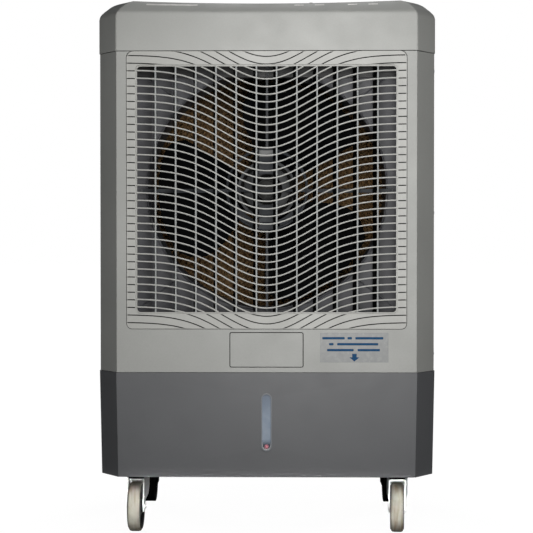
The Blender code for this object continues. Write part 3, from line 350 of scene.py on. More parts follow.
def modified(bm, kind, **settings):
    """The mesh after one modifier."""
    obj = temporary(as_mesh(bm))
    modifier = obj.modifiers.new(kind.lower(), kind)
    for name, value in settings.items():
        setattr(modifier, name, value)
    return evaluated(obj)


def rounded(bm, width, segments=2, angle=30):
    limit = math.radians(angle)
    return modified(bm, "BEVEL", width=width, segments=segments, limit_method="ANGLE", angle_limit=limit)


def thickened(bm, thickness, offset=-1):
    return modified(bm, "SOLIDIFY", thickness=thickness, offset=offset, use_even_offset=True)


def carved(bm, other, operation="DIFFERENCE"):
    bmesh.ops.recalc_face_normals(other, faces=other.faces)
    cutter = temporary(as_mesh(other))
    result = modified(bm, "BOOLEAN", operation=operation, object=cutter, solver="EXACT")
    bpy.data.objects.remove(cutter)
    return result


def merged(*parts):
    """Several meshes as one."""
    whole = bmesh.new()
    for part in parts:
        whole.from_mesh(as_mesh(part))
    return whole


def moved(bm, matrix):
    bmesh.ops.transform(bm, matrix=matrix, verts=bm.verts)
    return bm


def shift(x, y, z):
    return Matrix.Translation((x, y, z))


def piece(name, bm, finish, body="cabinet", replaces=(), smooth=35):
    """Adds a finished mesh to the model, riding on a body."""
    bmesh.ops.recalc_face_normals(bm, faces=bm.faces)
    limit = math.radians(smooth)
    for face in bm.faces:
        face.smooth = True
    for edge in bm.edges:
        edge.smooth = len(edge.link_faces) == 2 and edge.calc_face_angle(0) < limit
    mesh = as_mesh(bm)
    mesh.name = name
    mesh.materials.append(finish)
    obj = bpy.data.objects.new(name, mesh)
    bpy.context.scene.collection.objects.link(obj)
    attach(obj, body)
    if replaces:
        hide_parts(*replaces)
    flatten = obj.modifiers.new("flatten", "WEIGHTED_NORMAL")
    flatten.keep_sharp = True


def keep(node, finish, bevel=0.0006, segments=2):
    """Shows a CAD node with a better material and softened edges."""
    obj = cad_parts[node]
    obj.data.materials.clear()
    obj.data.materials.append(finish)
    if bevel:
        soften = obj.modifiers.new("soften", "BEVEL")
        soften.width = bevel
        soften.segments = segments
        soften.limit_method = "ANGLE"
        soften.angle_limit = math.radians(40)


def block(low, high):
    bm = bmesh.new()
    bmesh.ops.create_cube(bm, size=1)
    low, high = Vector(low), Vector(high)
    size = Matrix.Diagonal((*(high - low), 1))
    return moved(bm, Matrix.Translation((low + high) / 2) @ size)


def sheet(loops, depth, place=None):
    """A flat solid from an edge loop and hole loops, with its middle plane at local Z 0."""
    curve = bpy.data.curves.new("outline", "CURVE")
    curve.dimensions = "2D"
    curve.fill_mode = "BOTH"
    curve.extrude = depth / 2
    for loop in loops:
        spline = curve.splines.new("POLY")
        spline.points.add(len(loop) - 1)
        for point, (x, y) in zip(spline.points, loop):
            point.co = (x, y, 0, 1)
        spline.use_cyclic_u = True
    bm = evaluated(temporary(curve))
    bpy.data.curves.remove(curve)
    return moved(bm, place or Matrix())


def facing(loops, depth, y, z=0.0):
    """A flat solid that faces the front, with its middle plane at y."""
    return sheet(loops, depth, shift(0, y, z) @ TO_FRONT)


def lathe(profile, sides=64, place=None, closed=False):
    """A solid of revolution about local Z from (radius, height) points."""
    bm = bmesh.new()
    rings = []
    for radius, height in profile:
        if radius < 1e-6:
            rings.append([bm.verts.new((0, 0, height))] * sides)
            continue
        angles = [2 * math.pi * i / sides for i in range(sides)]
        rings.append([bm.verts.new((radius * math.cos(a), radius * math.sin(a), height)) for a in angles])
    pairs = list(zip(rings, rings[1:])) + ([(rings[-1], rings[0])] if closed else [])
    for upper, lower in pairs:
        for i in range(sides):
            corners = [upper[i], upper[i - 1], lower[i - 1], lower[i]]
            corners = [c for j, c in enumerate(corners) if c not in corners[:j]]
            if len(corners) > 2:
                bm.faces.new(corners)
    return moved(bm, place or Matrix())


def rod(start, end, radius, sides=24):
    """A cylinder with softened ends."""
    soft = 0.0004
    along = Vector(end) - Vector(start)
    length = along.length
    profile = [(0, length), (radius - soft, length), (radius, length - soft)]
    profile += [(radius, soft), (radius - soft, 0), (0, 0)]
    turn = along.to_track_quat("Z", "Y").to_matrix().to_4x4()
    return lathe(profile, sides, Matrix.Translation(start) @ turn)


def tube(points, radius, sides=16, closed=False):
    """A round tube along points, without twist."""
    points = [Vector(p) for p in points]
    count = len(points)
    corners = [2 * math.pi * j / sides for j in range(sides)]
    bm = bmesh.new()
    rings = []
    side = None
    for i, point in enumerate(points):
        before = points[i - 1] if i or closed else point
        after = points[(i + 1) % count] if i < count - 1 or closed else point
        along = (after - before).normalized()
        side = along.orthogonal() if side is None else (side - along * side.dot(along))
        side.normalize()
        other = along.cross(side)
        ring = [side * math.cos(a) + other * math.sin(a) for a in corners]
        rings.append([bm.verts.new(point + radius * step) for step in ring])
    for a, b in zip(rings, rings[1:] + rings[:1] if closed else rings[1:]):
        for j in range(sides):
            bm.faces.new((a[j - 1], a[j], b[j], b[j - 1]))
    if not closed:
        bm.faces.new(rings[0])
        bm.faces.new(rings[-1][::-1])
    return bm


def prism(section, length, place=None):
    """A solid with one outline in local X and Y, along local Z from 0."""
    return sheet([section], length, (place or Matrix()) @ shift(0, 0, length / 2))


def skin(bm, lines):
    """Faces between neighbouring lines of vertices."""
    for first, second in zip(lines, lines[1:]):
        for corners in zip(first, first[1:], second[1:], second):
            bm.faces.new(corners)


def sliced(bm, normal, places):
    """Cuts every face where it crosses planes at the given distances, and keeps both sides."""
    for place in places:
        everything = bm.verts[:] + bm.edges[:] + bm.faces[:]
        middle = place * Vector(normal)
        bmesh.ops.bisect_plane(bm, geom=everything, plane_co=middle, plane_no=normal)


def in_turn(bm, i, count):
    """The mesh turned to the i-th of several even places about Z."""
    return moved(bm, Matrix.Rotation(2 * math.pi * i / count, 4, "Z"))


def hex_head(x, y, z, radius, height, soft):
    """A bolt head or nut that stands along local Z."""
    return rounded(prism(circle(x, y, radius, 6), height, shift(0, 0, z)), soft)


def middle_of(node):
    """The middle of a node's box in plan."""
    low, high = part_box(node)
    return (low[0] + high[0]) / 2, (low[1] + high[1]) / 2


# --- Outlines -----------------------------------------------------------------------------------


def arc(x, y, radius, start, end, steps=8):
    angles = [math.radians(start + (end - start) * i / steps) for i in range(steps + 1)]
    return [(x + radius * math.cos(a), y + radius * math.sin(a)) for a in angles]


def circle(x, y, radius, sides=96):
    return arc(x, y, radius, 0, 360, sides)[:-1]


def rounded_rectangle(x0, y0, x1, y1, radius, top_radius=None, steps=6):
    """Counter-clockwise from the lower right corner."""
    top = radius if top_radius is None else top_radius
    return (
        arc(x1 - radius, y0 + radius, radius, -90, 0, steps)
        + arc(x1 - top, y1 - top, top, 0, 90, steps)
        + arc(x0 + top, y1 - top, top, 90, 180, steps)
        + arc(x0 + radius, y0 + radius, radius, 180, 270, steps)
    )


def stadium(half_width, low, high):
    top = arc(0, high - half_width, half_width, 0, 180, 12)
    return top + arc(0, low + half_width, half_width, 180, 360, 12)


def plan_corners(half_width, half_depth, corner_x, corner_y):
    """An eight-sided plan, counter-clockwise from the front right."""
    quarter = [(half_width, half_depth - corner_y), (half_width - corner_x, half_depth)]
    right = [(x, -y) for x, y in reversed(quarter)] + quarter
    return right + [(-x, -y) for x, y in right]


# --- Grille -------------------------------------------------------------------------------------


def wave_height(x, number):
    return WAVE_BASE + number * WAVE_PITCH - WAVE_DIP * math.exp(-((x / WAVE_REACH) ** 2))


def wave_slope(x):
    return WAVE_DIP * 2 * x / WAVE_REACH**2 * math.exp(-((x / WAVE_REACH) ** 2))


def wave_strip(xs, number, section, drop=0.0):
    """A strip that follows a wave. Its section is (across the wave, y) points."""
    bm = bmesh.new()
    rings = []
    for x in xs:
        slope = wave_slope(x)
        scale = 1 / math.hypot(1, slope)
        centre_z = wave_height(x, number) - drop
        rings.append([bm.verts.new((x - slope * scale * a, y, centre_z + scale * a)) for a, y in section])
    for first, second in zip(rings, rings[1:]):
        for i in range(len(section)):
            bm.faces.new((first[i - 1], first[i], second[i], second[i - 1]))
    bm.faces.new(rings[0])
    bm.faces.new(rings[-1][::-1])
    return bm


def spread(low, high, steps):
    return [low + (high - low) * i / steps for i in range(steps + 1)]


def bar_section(half, front, back, soft):
    """A bar's section with a rounded front edge, as (across, y) points."""
    return [
        (-half, back),
        (-half, front + soft),
        (-half + soft * 0.3, front + soft * 0.3),
        (-half + soft, front),
        (half - soft, front),
        (half - soft * 0.3, front + soft * 0.3),
        (half, front + soft),
        (half, back),
    ]


def wave_range(number, low, high):
    """The x values, in one or two stretches, where a wave lies between two heights."""
    xs = spread(-OPENING_HALF - 0.001, OPENING_HALF + 0.001, 92)
    stretch, found = [], []
    for x in xs:
        if low <= wave_height(x, number) <= high:
            stretch.append(x)
            continue
        if len(stretch) > 1:
            found.append(stretch)
        stretch = []
    if len(stretch) > 1:
        found.append(stretch)
    return found


def grille():
    """The moulded grille: a field with grooves darkened by strips of painted shade, and bars that carry the
    same waves across.
    """
    low, high, depth = FIELD_LOW[2], FIELD_HIGH[2], FIELD_HIGH[1] - FACE_Y
    field = rounded_rectangle(-FIELD_HALF, low, FIELD_HALF, high, FIELD_FOOT_RADIUS, FIELD_TOP_RADIUS)

    def opening(grow):
        w = OPENING_HALF + grow
        return rounded_rectangle(-w, OPENING_LOW - grow, w, OPENING_HIGH + grow, OPENING_RADIUS + grow)

    plate = facing([field, opening(0)], depth, FACE_Y + depth / 2)
    plate = carved(plate, facing([opening(0.0014)], 0.0024, FACE_Y))
    plate = carved(plate, facing([opening(0.0030), opening(0.0014)], 0.0064, FACE_Y))
    plate = rounded(plate, 0.0004, 2)
    half = GROOVE_WIDTH / 2
    ahead, bottom = FACE_Y - 0.001, FACE_Y + GROOVE_DEPTH
    groove = [(-half, ahead), (half, ahead), (half, bottom), (-half, bottom)]
    first = math.ceil((low - WAVE_BASE) / WAVE_PITCH)
    last = math.floor((high - WAVE_BASE + WAVE_DIP) / WAVE_PITCH)
    numbers = range(first, last + 1)
    reach = spread(-FIELD_HALF - 0.002, FIELD_HALF + 0.002, 72)
    cutters = merged(*[wave_strip(reach, n, groove, GROOVE_DROP) for n in numbers])
    piece("grille_field", carved(plate, cutters), GRILLE, replaces=["front_grille"], smooth=30)
    # Thin near-black strips at the grooves' bottoms: painted shade.
    near, far = bottom - 0.0008, bottom + 0.0002
    groove_shade = [(-half, near), (half, near), (half, far), (-half, far)]
    groove_shades = merged(*[wave_strip(reach, n, groove_shade, GROOVE_DROP) for n in numbers])
    inset = 0.0012
    edge = FIELD_HALF - inset
    margin = rounded_rectangle(-edge, low + inset, edge, high - inset, FIELD_FOOT_RADIUS, FIELD_TOP_RADIUS)
    margin = facing([margin, opening(0.0036)], 0.02, FACE_Y)
    piece("grille_groove_shadows", carved(groove_shades, margin, "INTERSECT"), SEAM_SHADE, smooth=30)
    section = bar_section(WAVE_THICKNESS / 2, FACE_Y + 0.0004, FACE_Y + 0.0060, 0.0009)
    bars = [
        wave_strip(xs, n, section)
        for n in numbers
        for xs in wave_range(n, OPENING_LOW - 0.001, OPENING_HIGH + 0.001)
    ]
    piece("grille_waves", merged(*bars), GRILLE, smooth=50)
    uprights = []
    for i in range(UPRIGHTS):
        x = (i - (UPRIGHTS - 1) / 2) * UPRIGHT_PITCH
        outline = bar_section(UPRIGHT_WIDTH / 2, FACE_Y + 0.0012, FACE_Y + 0.0072, 0.0010)
        place = shift(x, 0, OPENING_LOW - 0.0012)
        uprights.append(prism(outline, OPENING_HIGH - OPENING_LOW + 0.0024, place))
    piece("grille_uprights", merged(*uprights), GRILLE_SHADED, smooth=50)


# --- Cabinet ------------------------------------------------------------------------------------


SHOULDER = (  # inset at the ends, inset at the front and back, and drop below the roof
    (0.0, 0.0, 0.0340),
    (0.0008, 0.0, 0.0305),
    (0.0021, 0.0002, 0.0275),
    (0.0047, 0.0012, 0.0240),
    (0.0091, 0.0060, 0.0190),
    (0.0152, 0.0118, 0.0135),
    (0.0219, 0.0180, 0.0080),
    (0.0302, 0.0250, 0.0035),
    (0.0370, 0.0310, 0.0010),
    (0.0455, 0.0380, 0.0),
)
ROOF_DISH = 0.006


def dished(x, z, top, flat):
    """A roof point's height once the roof dips towards its middle."""
    lift = max(0.0, 1 - (top - z) / SHOULDER[0][2])
    return z - ROOF_DISH * lift**2 * max(0.0, 1 - (x / flat) ** 2)


def top_cover():
    """The roof: straight sides, a sloping shoulder and a shallow dish, with a rounded control recess."""
    low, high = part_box("top_cover")
    half_width, half_depth, top = high[0], high[1], high[2]
    corner_x, corner_y = 0.0355, 0.045
    bm = bmesh.new()
    rings = []
    for along, across, drop in ((0.0, 0.0, top - low[2] - 0.0003), *SHOULDER):
        shrink = 1 - 0.3 * along / SHOULDER[-1][0]
        plan = plan_corners(half_width - along, half_depth - across, corner_x * shrink, corner_y * shrink)
        rings.append([bm.verts.new((x, y, top - drop)) for x, y in plan])
    for lower, upper in zip(rings, rings[1:]):
        for i in range(8):
            bm.faces.new((lower[i - 1], lower[i], upper[i], upper[i - 1]))
    bm.faces.new(rings[-1])
    flat = half_width - SHOULDER[-1][0]
    sliced(bm, (1, 0, 0), spread(-flat, flat, 28)[1:-1])
    for vert in bm.verts:
        vert.co.z = dished(vert.co.x, vert.co.z, top, flat)
    bmesh.ops.recalc_face_normals(bm, faces=bm.faces)
    solid = bm.copy()
    bmesh.ops.holes_fill(solid, edges=solid.edges)
    cover = thickened(rounded(bm, 0.0020, 3, 24), 0.003)
    (x0, _, _), (x1, y1, z1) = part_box("control_panel")
    y0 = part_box("speed_knob")[0][1] - 0.0012  # the rim covers the panel's front edge

    def around(grow, radius):
        return rounded_rectangle(x0 - grow, y0 - grow, x1 + grow, y1 + grow, radius)

    cover = carved(cover, sheet([around(0.0026, 0.006)], 0.06, shift(0, 0, z1 + 0.018)))
    piece("roof_cover", cover, LIGHT, replaces=["top_cover"], smooth=32)
    wall = sheet([around(0.0025, 0.0059), around(0.0004, 0.0038)], 0.030, shift(0, 0, z1 + 0.011))
    piece("control_recess", carved(wall, solid, "INTERSECT"), LIGHT)
    # A near-black ring inside the cover's lower edge: painted shade in the seam.
    wall = [plan_corners(half_width - s, half_depth - s, corner_x, corner_y) for s in (0.0045, 0.0055)]
    piece("roof_seam_shade", sheet(wall, 0.005, shift(0, 0, low[2] + 0.0020)), SEAM_SHADE)


def shoulder_strip(x0, x1, low, high):
    """A thin patch on the front shoulder between two shares of its sixth step."""
    (_, front, _), (side, _, top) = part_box("top_cover")
    flat, lift = side - SHOULDER[-1][0], 0.0003
    (_, first, first_drop), (_, second, second_drop) = SHOULDER[5:7]
    bm = bmesh.new()
    lines = []
    for share in (low, high):
        y = front + first + share * (second - first)
        z = top - first_drop + share * (first_drop - second_drop) + lift
        lines.append([bm.verts.new((x, y, dished(x, z, top, flat))) for x in spread(x0, x1, 8)])
    skin(bm, lines)
    return thickened(bm, 0.0002, 1)


def roof_label():
    """A pale strip on the front shoulder, and a mark in front of the controls for each setting."""
    piece("roof_label", shoulder_strip(-0.216, -0.124, 0.42, 0.98), PALE_PRINT)
    marks = [shoulder_strip(x - 0.0085, x + 0.0085, 0.55, 1.0) for x in (0.058, 0.095, 0.154, 0.191)]
    piece("control_marks", merged(*marks), PALE_PRINT)


def front_panel():
    """The front sheet, with rounded upper corners about the grille and a window for the badge."""
    low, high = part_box("front_panel")
    face, side = low[1], high[0]
    bend_x, bend_y = 0.03475, 0.0435
    path = [(side, high[1]), (side, face + bend_y), (side - bend_x, face)]
    path += [(-x, y) for x, y in reversed(path)]
    bm = bmesh.new()
    lower = [bm.verts.new((x, y, low[2])) for x, y in path]
    upper = [bm.verts.new((x, y, high[2] - 0.0002)) for x, y in path]
    skin(bm, [upper, lower])
    panel = thickened(bm, 0.003)

    def field(grow):
        edge, radii = FIELD_HALF + grow, (FIELD_FOOT_RADIUS + grow, FIELD_TOP_RADIUS + grow)
        return rounded_rectangle(-edge, FIELD_LOW[2] - grow, edge, high[2] + grow, *radii)

    panel = carved(panel, facing([field(SEAM)], 0.02, face))
    # A near-black ring behind the gap round the grille's field: painted shade in the seam.
    seam_ring = facing([field(0.006), field(0.0002)], 0.001, face + 0.0040)
    seam_ring = carved(seam_ring, block((-0.3, face, high[2] - 0.0003), (0.3, face + 0.01, high[2] + 0.02)))
    piece("field_seam_shade", seam_ring, SEAM_SHADE)
    (x0, _, z0), (x1, _, z1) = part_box("front_badge")

    def badge(grow, radius):
        return rounded_rectangle(x0 - grow, z0 - grow, x1 + grow, z1 + grow, radius)

    panel = carved(panel, facing([badge(0.0013, 0.0035)], 0.02, face))
    piece("front_sheet", rounded(panel, 0.0006, 2, 35), LIGHT, replaces=["front_panel"], smooth=40)
    plate = rounded(facing([badge(-0.0001, 0.0025)], 0.003, face + 0.0015), 0.0005, 3)
    piece("badge_plate", plate, LIGHT, replaces=["front_badge"])
    # A near-black sheet behind the gap round the badge: painted shade.
    piece("badge_seam_shade", facing([badge(0.004, 0.006)], 0.0008, face + 0.0036), SEAM_SHADE)


def printed_label():
    """A label with plain bars in place of lettering, and an arrow."""
    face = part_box("front_panel")[0][1]
    left, right, low, top, upper_low = 0.0958, 0.2184, 0.3152, 0.3688, 0.3313
    bar_half, print_lift, print_thickness = 0.0021, 0.00055, 0.00015

    def patch(x0, z0, x1, z1, lift, thickness=0.0002):
        loop = rounded_rectangle(x0, z0, x1, z1, min(0.0012, (z1 - z0) / 2.2), steps=3)
        return facing([loop], thickness, face - lift)

    piece("label_film", patch(left, low, right, top, 0.0001), STICKER)
    piece("label_film_upper", patch(left + 0.0010, upper_low, right - 0.0080, top - 0.0010, 0.0003), STICKER)
    rows = (
        (0.3587, ((0.1000, 0.1400), (0.1450, 0.1530), (0.1590, 0.2090))),
        (0.3480, ((0.1120, 0.1200), (0.1265, 0.2000))),
        (0.3374, ((0.1085, 0.1560), (0.1630, 0.2030))),
    )
    bars = []
    for z, spans in rows:
        low, high = z - bar_half, z + bar_half
        bars += [patch(x0, low, x1, high, print_lift, print_thickness) for x0, x1 in spans]
    x, z, head, shaft = 0.1574, 0.3170, 0.0075, 0.0138
    arrow = [(x, z), (x + 0.0088, z + head), (x + 0.0040, z + head), (x + 0.0040, z + shaft)]
    arrow += [(2 * x - a, b) for a, b in reversed(arrow[1:])]
    bars.append(facing([arrow], print_thickness, face - print_lift))
    piece("label_print", merged(*bars), BLUE)


def screw_head(place, radius=0.0042):
    """A cross-recessed pan head on a washer, facing local Z."""
    profile = [(0, 0.0022), (radius * 0.55, 0.0021), (radius * 0.9, 0.0014)]
    profile += [(radius, 0.0004), (radius, 0), (0, 0)]
    head = lathe(profile, 20)
    for turn in (0, math.pi / 2):
        slot = block((-radius * 0.6, -0.0005, 0.0010), (radius * 0.6, 0.0005, 0.004))
        head = carved(head, moved(slot, Matrix.Rotation(turn, 4, "Z")))
    return moved(head, place)


def cabinet_sides():
    for side_name, side in (("left", -1), ("right", 1)):
        keep(f"side_panel_{side_name}", LIGHT, 0.0009, 3)
        keep(f"grip_cup_{side_name}", DARK, 0.0008, 3)
        low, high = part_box(f"side_panel_{side_name}")
        face = high[0] if side > 0 else low[0]
        turn = TO_SIDE if side > 0 else HALF_TURN @ TO_SIDE
        heads = []
        for y in (low[1] + 0.012, 0.150):
            for z in (low[2] + 0.03, (low[2] + high[2]) / 2, high[2] - 0.03):
                heads.append(screw_head(shift(face, y, z) @ turn))
        piece(f"side_screws_{side_name}", merged(*heads), ZINC, smooth=40)
        (_, y0, z0), (_, y1, z1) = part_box(f"grip_cup_{side_name}")
        lip = rounded_rectangle(y0 - 0.006, z0 - 0.006, y1 + 0.006, z1 + 0.006, 0.006)
        hole = rounded_rectangle(y0 + 0.002, z0 + 0.002, y1 - 0.002, z1 - 0.002, 0.003)
        at = shift(face + side * 0.0006, 0, 0) @ TO_SIDE
        piece(f"grip_lip_{side_name}", rounded(sheet([lip, hole], 0.0012, at), 0.0004, 2), DARK)
    keep("base_deck", INNER)


# --- Tank ---------------------------------------------------------------------------------------


def tank():
    keep("water_tank", DARK, 0.0012, 3)
    keep("fill_door", DARK, 0.0006)
    keep("storage_door", DARK, 0.0008)
    low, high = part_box("sight_glass")
    half, front = high[0], low[1]

    def slot(grow):
        return stadium(half + grow, low[2] - grow, high[2] + grow)

    ring = facing([slot(0.0014), slot(-0.0008)], 0.0016, front - 0.0012)
    piece("gauge_bezel", rounded(ring, 0.0005, 2), BEZEL)
    window = facing([slot(-0.0002)], 0.0018, front + 0.0009)
    piece("gauge_lens", rounded(window, 0.0005, 2), LENS, replaces=["sight_glass"])
    piece("gauge_wall", facing([slot(-0.0002), slot(-0.0017)], 0.0105, front + 0.0072), WHITE)
    (x0, y0, z0), (x1, y1, z1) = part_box("level_float")
    radius = (z1 - z0) / 2
    ball = lathe([(radius * math.sin(a), radius * math.cos(a)) for a in spread(0, math.pi, 16)], 24)
    ball = moved(ball, shift((x0 + x1) / 2, (y0 + y1) / 2, (z0 + z1) / 2))
    piece("level_ball", ball, RED, "level_float", ["level_float"])
    small = (("drain_plug", BLACK), ("float_valve", WHITE), ("float_arm", WHITE), ("pump", BLACK))
    for node, finish in small:
        keep(node, finish, 0.0003)
    keep("pump_hose", WHITE, 0)
    keep("water_distributor", WHITE, 0.0004)


# --- Controls -----------------------------------------------------------------------------------


def controls():
    keep("control_panel", DARK, 0.0004)
    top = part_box("control_panel")[1][2]
    for name, positions in (("speed_knob", 5), ("pump_knob", 2), ("swing_knob", 2)):
        (x0, y0, _), (x1, y1, _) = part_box(name)
        radius = (x1 - x0) / 2
        profile = [(0, 0.0098), (0.0118, 0.0098), (0.0130, 0.0092), (0.0136, 0.0080), (0.0140, 0.0030)]
        profile += [(radius - 0.0010, 0.0012), (radius - 0.0010, 0.0006), (0, 0.0006)]
        dial = lathe(profile, 72)
        for vert in dial.verts:
            if 0.0125 < vert.co.xy.length < 0.0145:
                vert.co.xy *= 1 + 0.018 * math.cos(24 * math.atan2(vert.co.y, vert.co.x))
        grip = rounded_rectangle(-0.0030, -0.0122, 0.0030, 0.0122, 0.0028)
        grip = rounded(sheet([grip], 0.0075, shift(0, 0, 0.0102)), 0.0012, 3)
        mark = rounded_rectangle(-0.0005, 0.004, 0.0005, 0.0115, 0.0004)
        at = shift((x0 + x1) / 2, (y0 + y1) / 2, top)
        piece(f"{name}_dial", moved(merged(dial, grip), at), WHITE, name, [name], smooth=38)
        piece(f"{name}_mark", sheet([mark], 0.0002, at @ shift(0, 0, 0.01405)), BLUE, name)
        ticks = []
        for i in range(positions):
            angle = math.radians(90 - (270 if positions > 2 else 90) * i / (positions - 1))
            tick = block((0.0172, -0.0005, 0), (0.0200, 0.0005, 0.00015))
            ticks.append(moved(tick, Matrix.Rotation(angle, 4, "Z")))
        piece(f"{name}_ticks", moved(merged(*ticks), at), PALE_PRINT)


# --- Louvres ------------------------------------------------------------------------------------


def louvres():
    for i in range(UPRIGHTS):
        keep(f"louvre_{i + 1:02d}", BLADE_BLACK, 0.0005)
    keep("louvre_rail_low", INNER, 0.0005)
    keep("louvre_rail_high", INNER, 0.0005)
    keep("louvre_link", BLACK, 0.0004)
    keep("louvre_motor", WHITE, 0.0006)
    keep("louvre_crank", WHITE, 0.0003)


# --- Fan ----------------------------------------------------------------------------------------


def shroud():
    """The wall around the fan, with a rolled lip and a ring."""
    low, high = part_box("fan_shroud")
    plate = rounded_rectangle(low[0], low[2], high[0], high[2], 0.004)
    r = RING_RADIUS
    wall = facing([plate, circle(0, FAN_Z, r + 0.003, 128)], 0.0025, SHROUD_Y)
    ring = [(r + 0.0045, 0.0010), (r + 0.0036, 0.0028), (r + 0.0018, 0.0035), (r + 0.0005, 0.0030)]
    ring += [(r, 0.0010)]
    ring += [(r, -0.0990), (r + 0.0026, -0.0990), (r + 0.0026, -0.0010), (r + 0.0045, -0.0010)]
    ring = lathe(ring, 160, shift(0, SHROUD_Y, FAN_Z) @ TO_FRONT, closed=True)
    piece("shroud_wall", merged(rounded(wall, 0.0005), ring), INNER, replaces=["fan_shroud"])
    ribs = []
    middle = Vector((0, SHROUD_Y - 0.0012, FAN_Z))
    for side in (-1, 1):
        for rise in (-1, 1):
            start = Vector((side, 0, rise)).normalized() * (r + 0.012)
            ribs.append(rod(middle + start, middle + Vector((side * 0.245, 0, rise * 0.225)), 0.0016, 8))
    piece("shroud_ribs", merged(*ribs), INNER)
    shade_angle = []  # an angle that hangs over the opening's upper edge, black as painted shade under the top lip
    for y0, y1, z0, z1 in (
        (-0.1515, -0.1495, 0.8375, 0.8680),
        (-0.1560, -0.1515, 0.8310, 0.8335),
        (-0.1530, -0.1510, 0.8330, 0.8400),
    ):
        shade_angle.append(rounded(block((-LINTEL_SHADE_HALF, y0, z0), (LINTEL_SHADE_HALF, y1, z1)), 0.0004))
    piece("shroud_lintel_shade", merged(*shade_angle), BLACK)


def blade(index):
    """One wide swept blade as a smooth closed shell."""
    bm = bmesh.new()
    rows, columns = 18, 22
    centre = BLADE_FIRST + index * 2 * math.pi / BLADES
    grid = []
    for i in range(rows + 1):
        out = i / rows
        radius = HUB_RADIUS - 0.003 + out * (BLADE_TIP - HUB_RADIUS + 0.003)
        line = []
        for j in range(columns + 1):
            across = j / columns - 0.5
            corner = max(0.0, abs(across) - 0.36) / 0.14
            reach = radius - (0.026 * corner**2 if i == rows else 0.026 * corner**2 * out**6)
            width = math.radians(74) * (1 + 0.10 * math.sin(math.pi * out))
            angle = centre + across * width + math.radians(14) * out * (1 - out)
            y = FAN_Y + across * (0.028 + 0.010 * out) + 0.006 * math.cos(math.pi * across)
            line.append(bm.verts.new((reach * math.cos(angle), y, FAN_Z + reach * math.sin(angle))))
        grid.append(line)
    skin(bm, grid)
    return rounded(thickened(bm, 0.0024, 0), 0.0008, 2, 50)


def fan():
    parts = [blade(i) for i in range(BLADES)]
    at = shift(0, FAN_Y, FAN_Z) @ TO_FRONT
    hub = [(0.0066, 0.0195), (0.030, 0.0195), (0.046, 0.0185), (0.0525, 0.0160), (HUB_RADIUS, 0.0110)]
    hub += [(HUB_RADIUS, -0.0195), (HUB_RADIUS - 0.003, -0.0200), (HUB_RADIUS - 0.003, 0.010)]
    hub += [(0.030, 0.0140), (0.012, 0.0140), (0.012, -0.018), (0.0066, -0.018)]
    parts.append(lathe(hub, 96, at, closed=True))
    for i in range(HUB_RIBS):
        rib = block((0.011, -0.0011, -0.014), (HUB_RADIUS - 0.002, 0.0011, 0.0145))
        parts.append(moved(in_turn(rib, i, HUB_RIBS), at))
    piece("fan_wheel", merged(*parts), BLADE_BLACK, "fan", ["fan_impeller"], smooth=40)
    keep("motor_shaft", ZINC, 0)
    nut = rounded(prism(circle(0, 0, 0.0095, 6), 0.007, shift(0, -0.0375, FAN_Z) @ TO_FRONT), 0.0008)
    piece("fan_nut", nut, ZINC, "fan")


def motor():
    """The motor: a recessed boss, the front bell, a deep gap, the finned shell and its flange."""
    low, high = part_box("fan_motor")
    middle, half = (low[1] + high[1]) / 2, (high[1] - low[1]) / 2
    r, flange = MOTOR_RADIUS, MOTOR_FLANGE
    profile = [(0, half - 0.0012), (0.0165, half - 0.0012), (0.0185, half - 0.0030), (0.0188, half - 0.0120)]
    profile += [(0.0272, half - 0.0120), (0.0276, half - 0.0022), (0.0286, half - 0.0012)]
    profile += [(0.0395, half - 0.0022), (0.0424, half - 0.0040), (0.0432, half - 0.0065)]
    profile += [(0.0434, half - 0.0150), (0.0488, half - 0.0150), (0.0490, half - 0.0118)]
    profile += [(0.0497, half - 0.0110), (flange - 0.0008, half - 0.0110), (flange, half - 0.0118)]
    profile += [(flange, half - 0.0176)]
    profile += [(r, half - 0.0180), (r, -half + 0.0176), (0.0466, -half + 0.0170), (0.0466, -half + 0.0110)]
    profile += [(0.0435, -half + 0.0060), (0.022, -half + 0.0035), (0.016, -half + 0.0030), (0.016, -half)]
    profile += [(0.0070, -half), (0.0070, -half + 0.020), (0, -half + 0.020)]
    at = shift(0, middle, FAN_Z) @ TO_FRONT
    piece("motor_shell", moved(lathe(profile, 96), at), MOTOR, replaces=["fan_motor"], smooth=30)
    # Near-black rings at the bottoms of the two gaps: painted shade.
    recess_shades = []
    for inner, outer, depth in ((0.0190, 0.0271, 0.0117), (0.0436, 0.0488, 0.0147)):
        recess_shades.append(thickened(lathe([(inner, half - depth), (outer, half - depth)], 96), 0.0002, 0))
    piece("motor_recess_shade", moved(merged(*recess_shades), at), SEAM_SHADE)
    fins = []
    for i in range(MOTOR_FINS):
        fin = block((r - 0.0010, -0.0007, -half + 0.019), (r + 0.0012, 0.0007, half - 0.019))
        fins.append(in_turn(fin, i, MOTOR_FINS))
    piece("motor_fins", moved(merged(*fins), at), MOTOR)
    places = circle(0, 0, 0.0516, 8)[1::2]
    bolts = [hex_head(x, y, half - 0.0112, 0.0022, 0.0020, 0.0004) for x, y in places]
    piece("motor_bolts", moved(merged(*bolts), at), BRACKET)


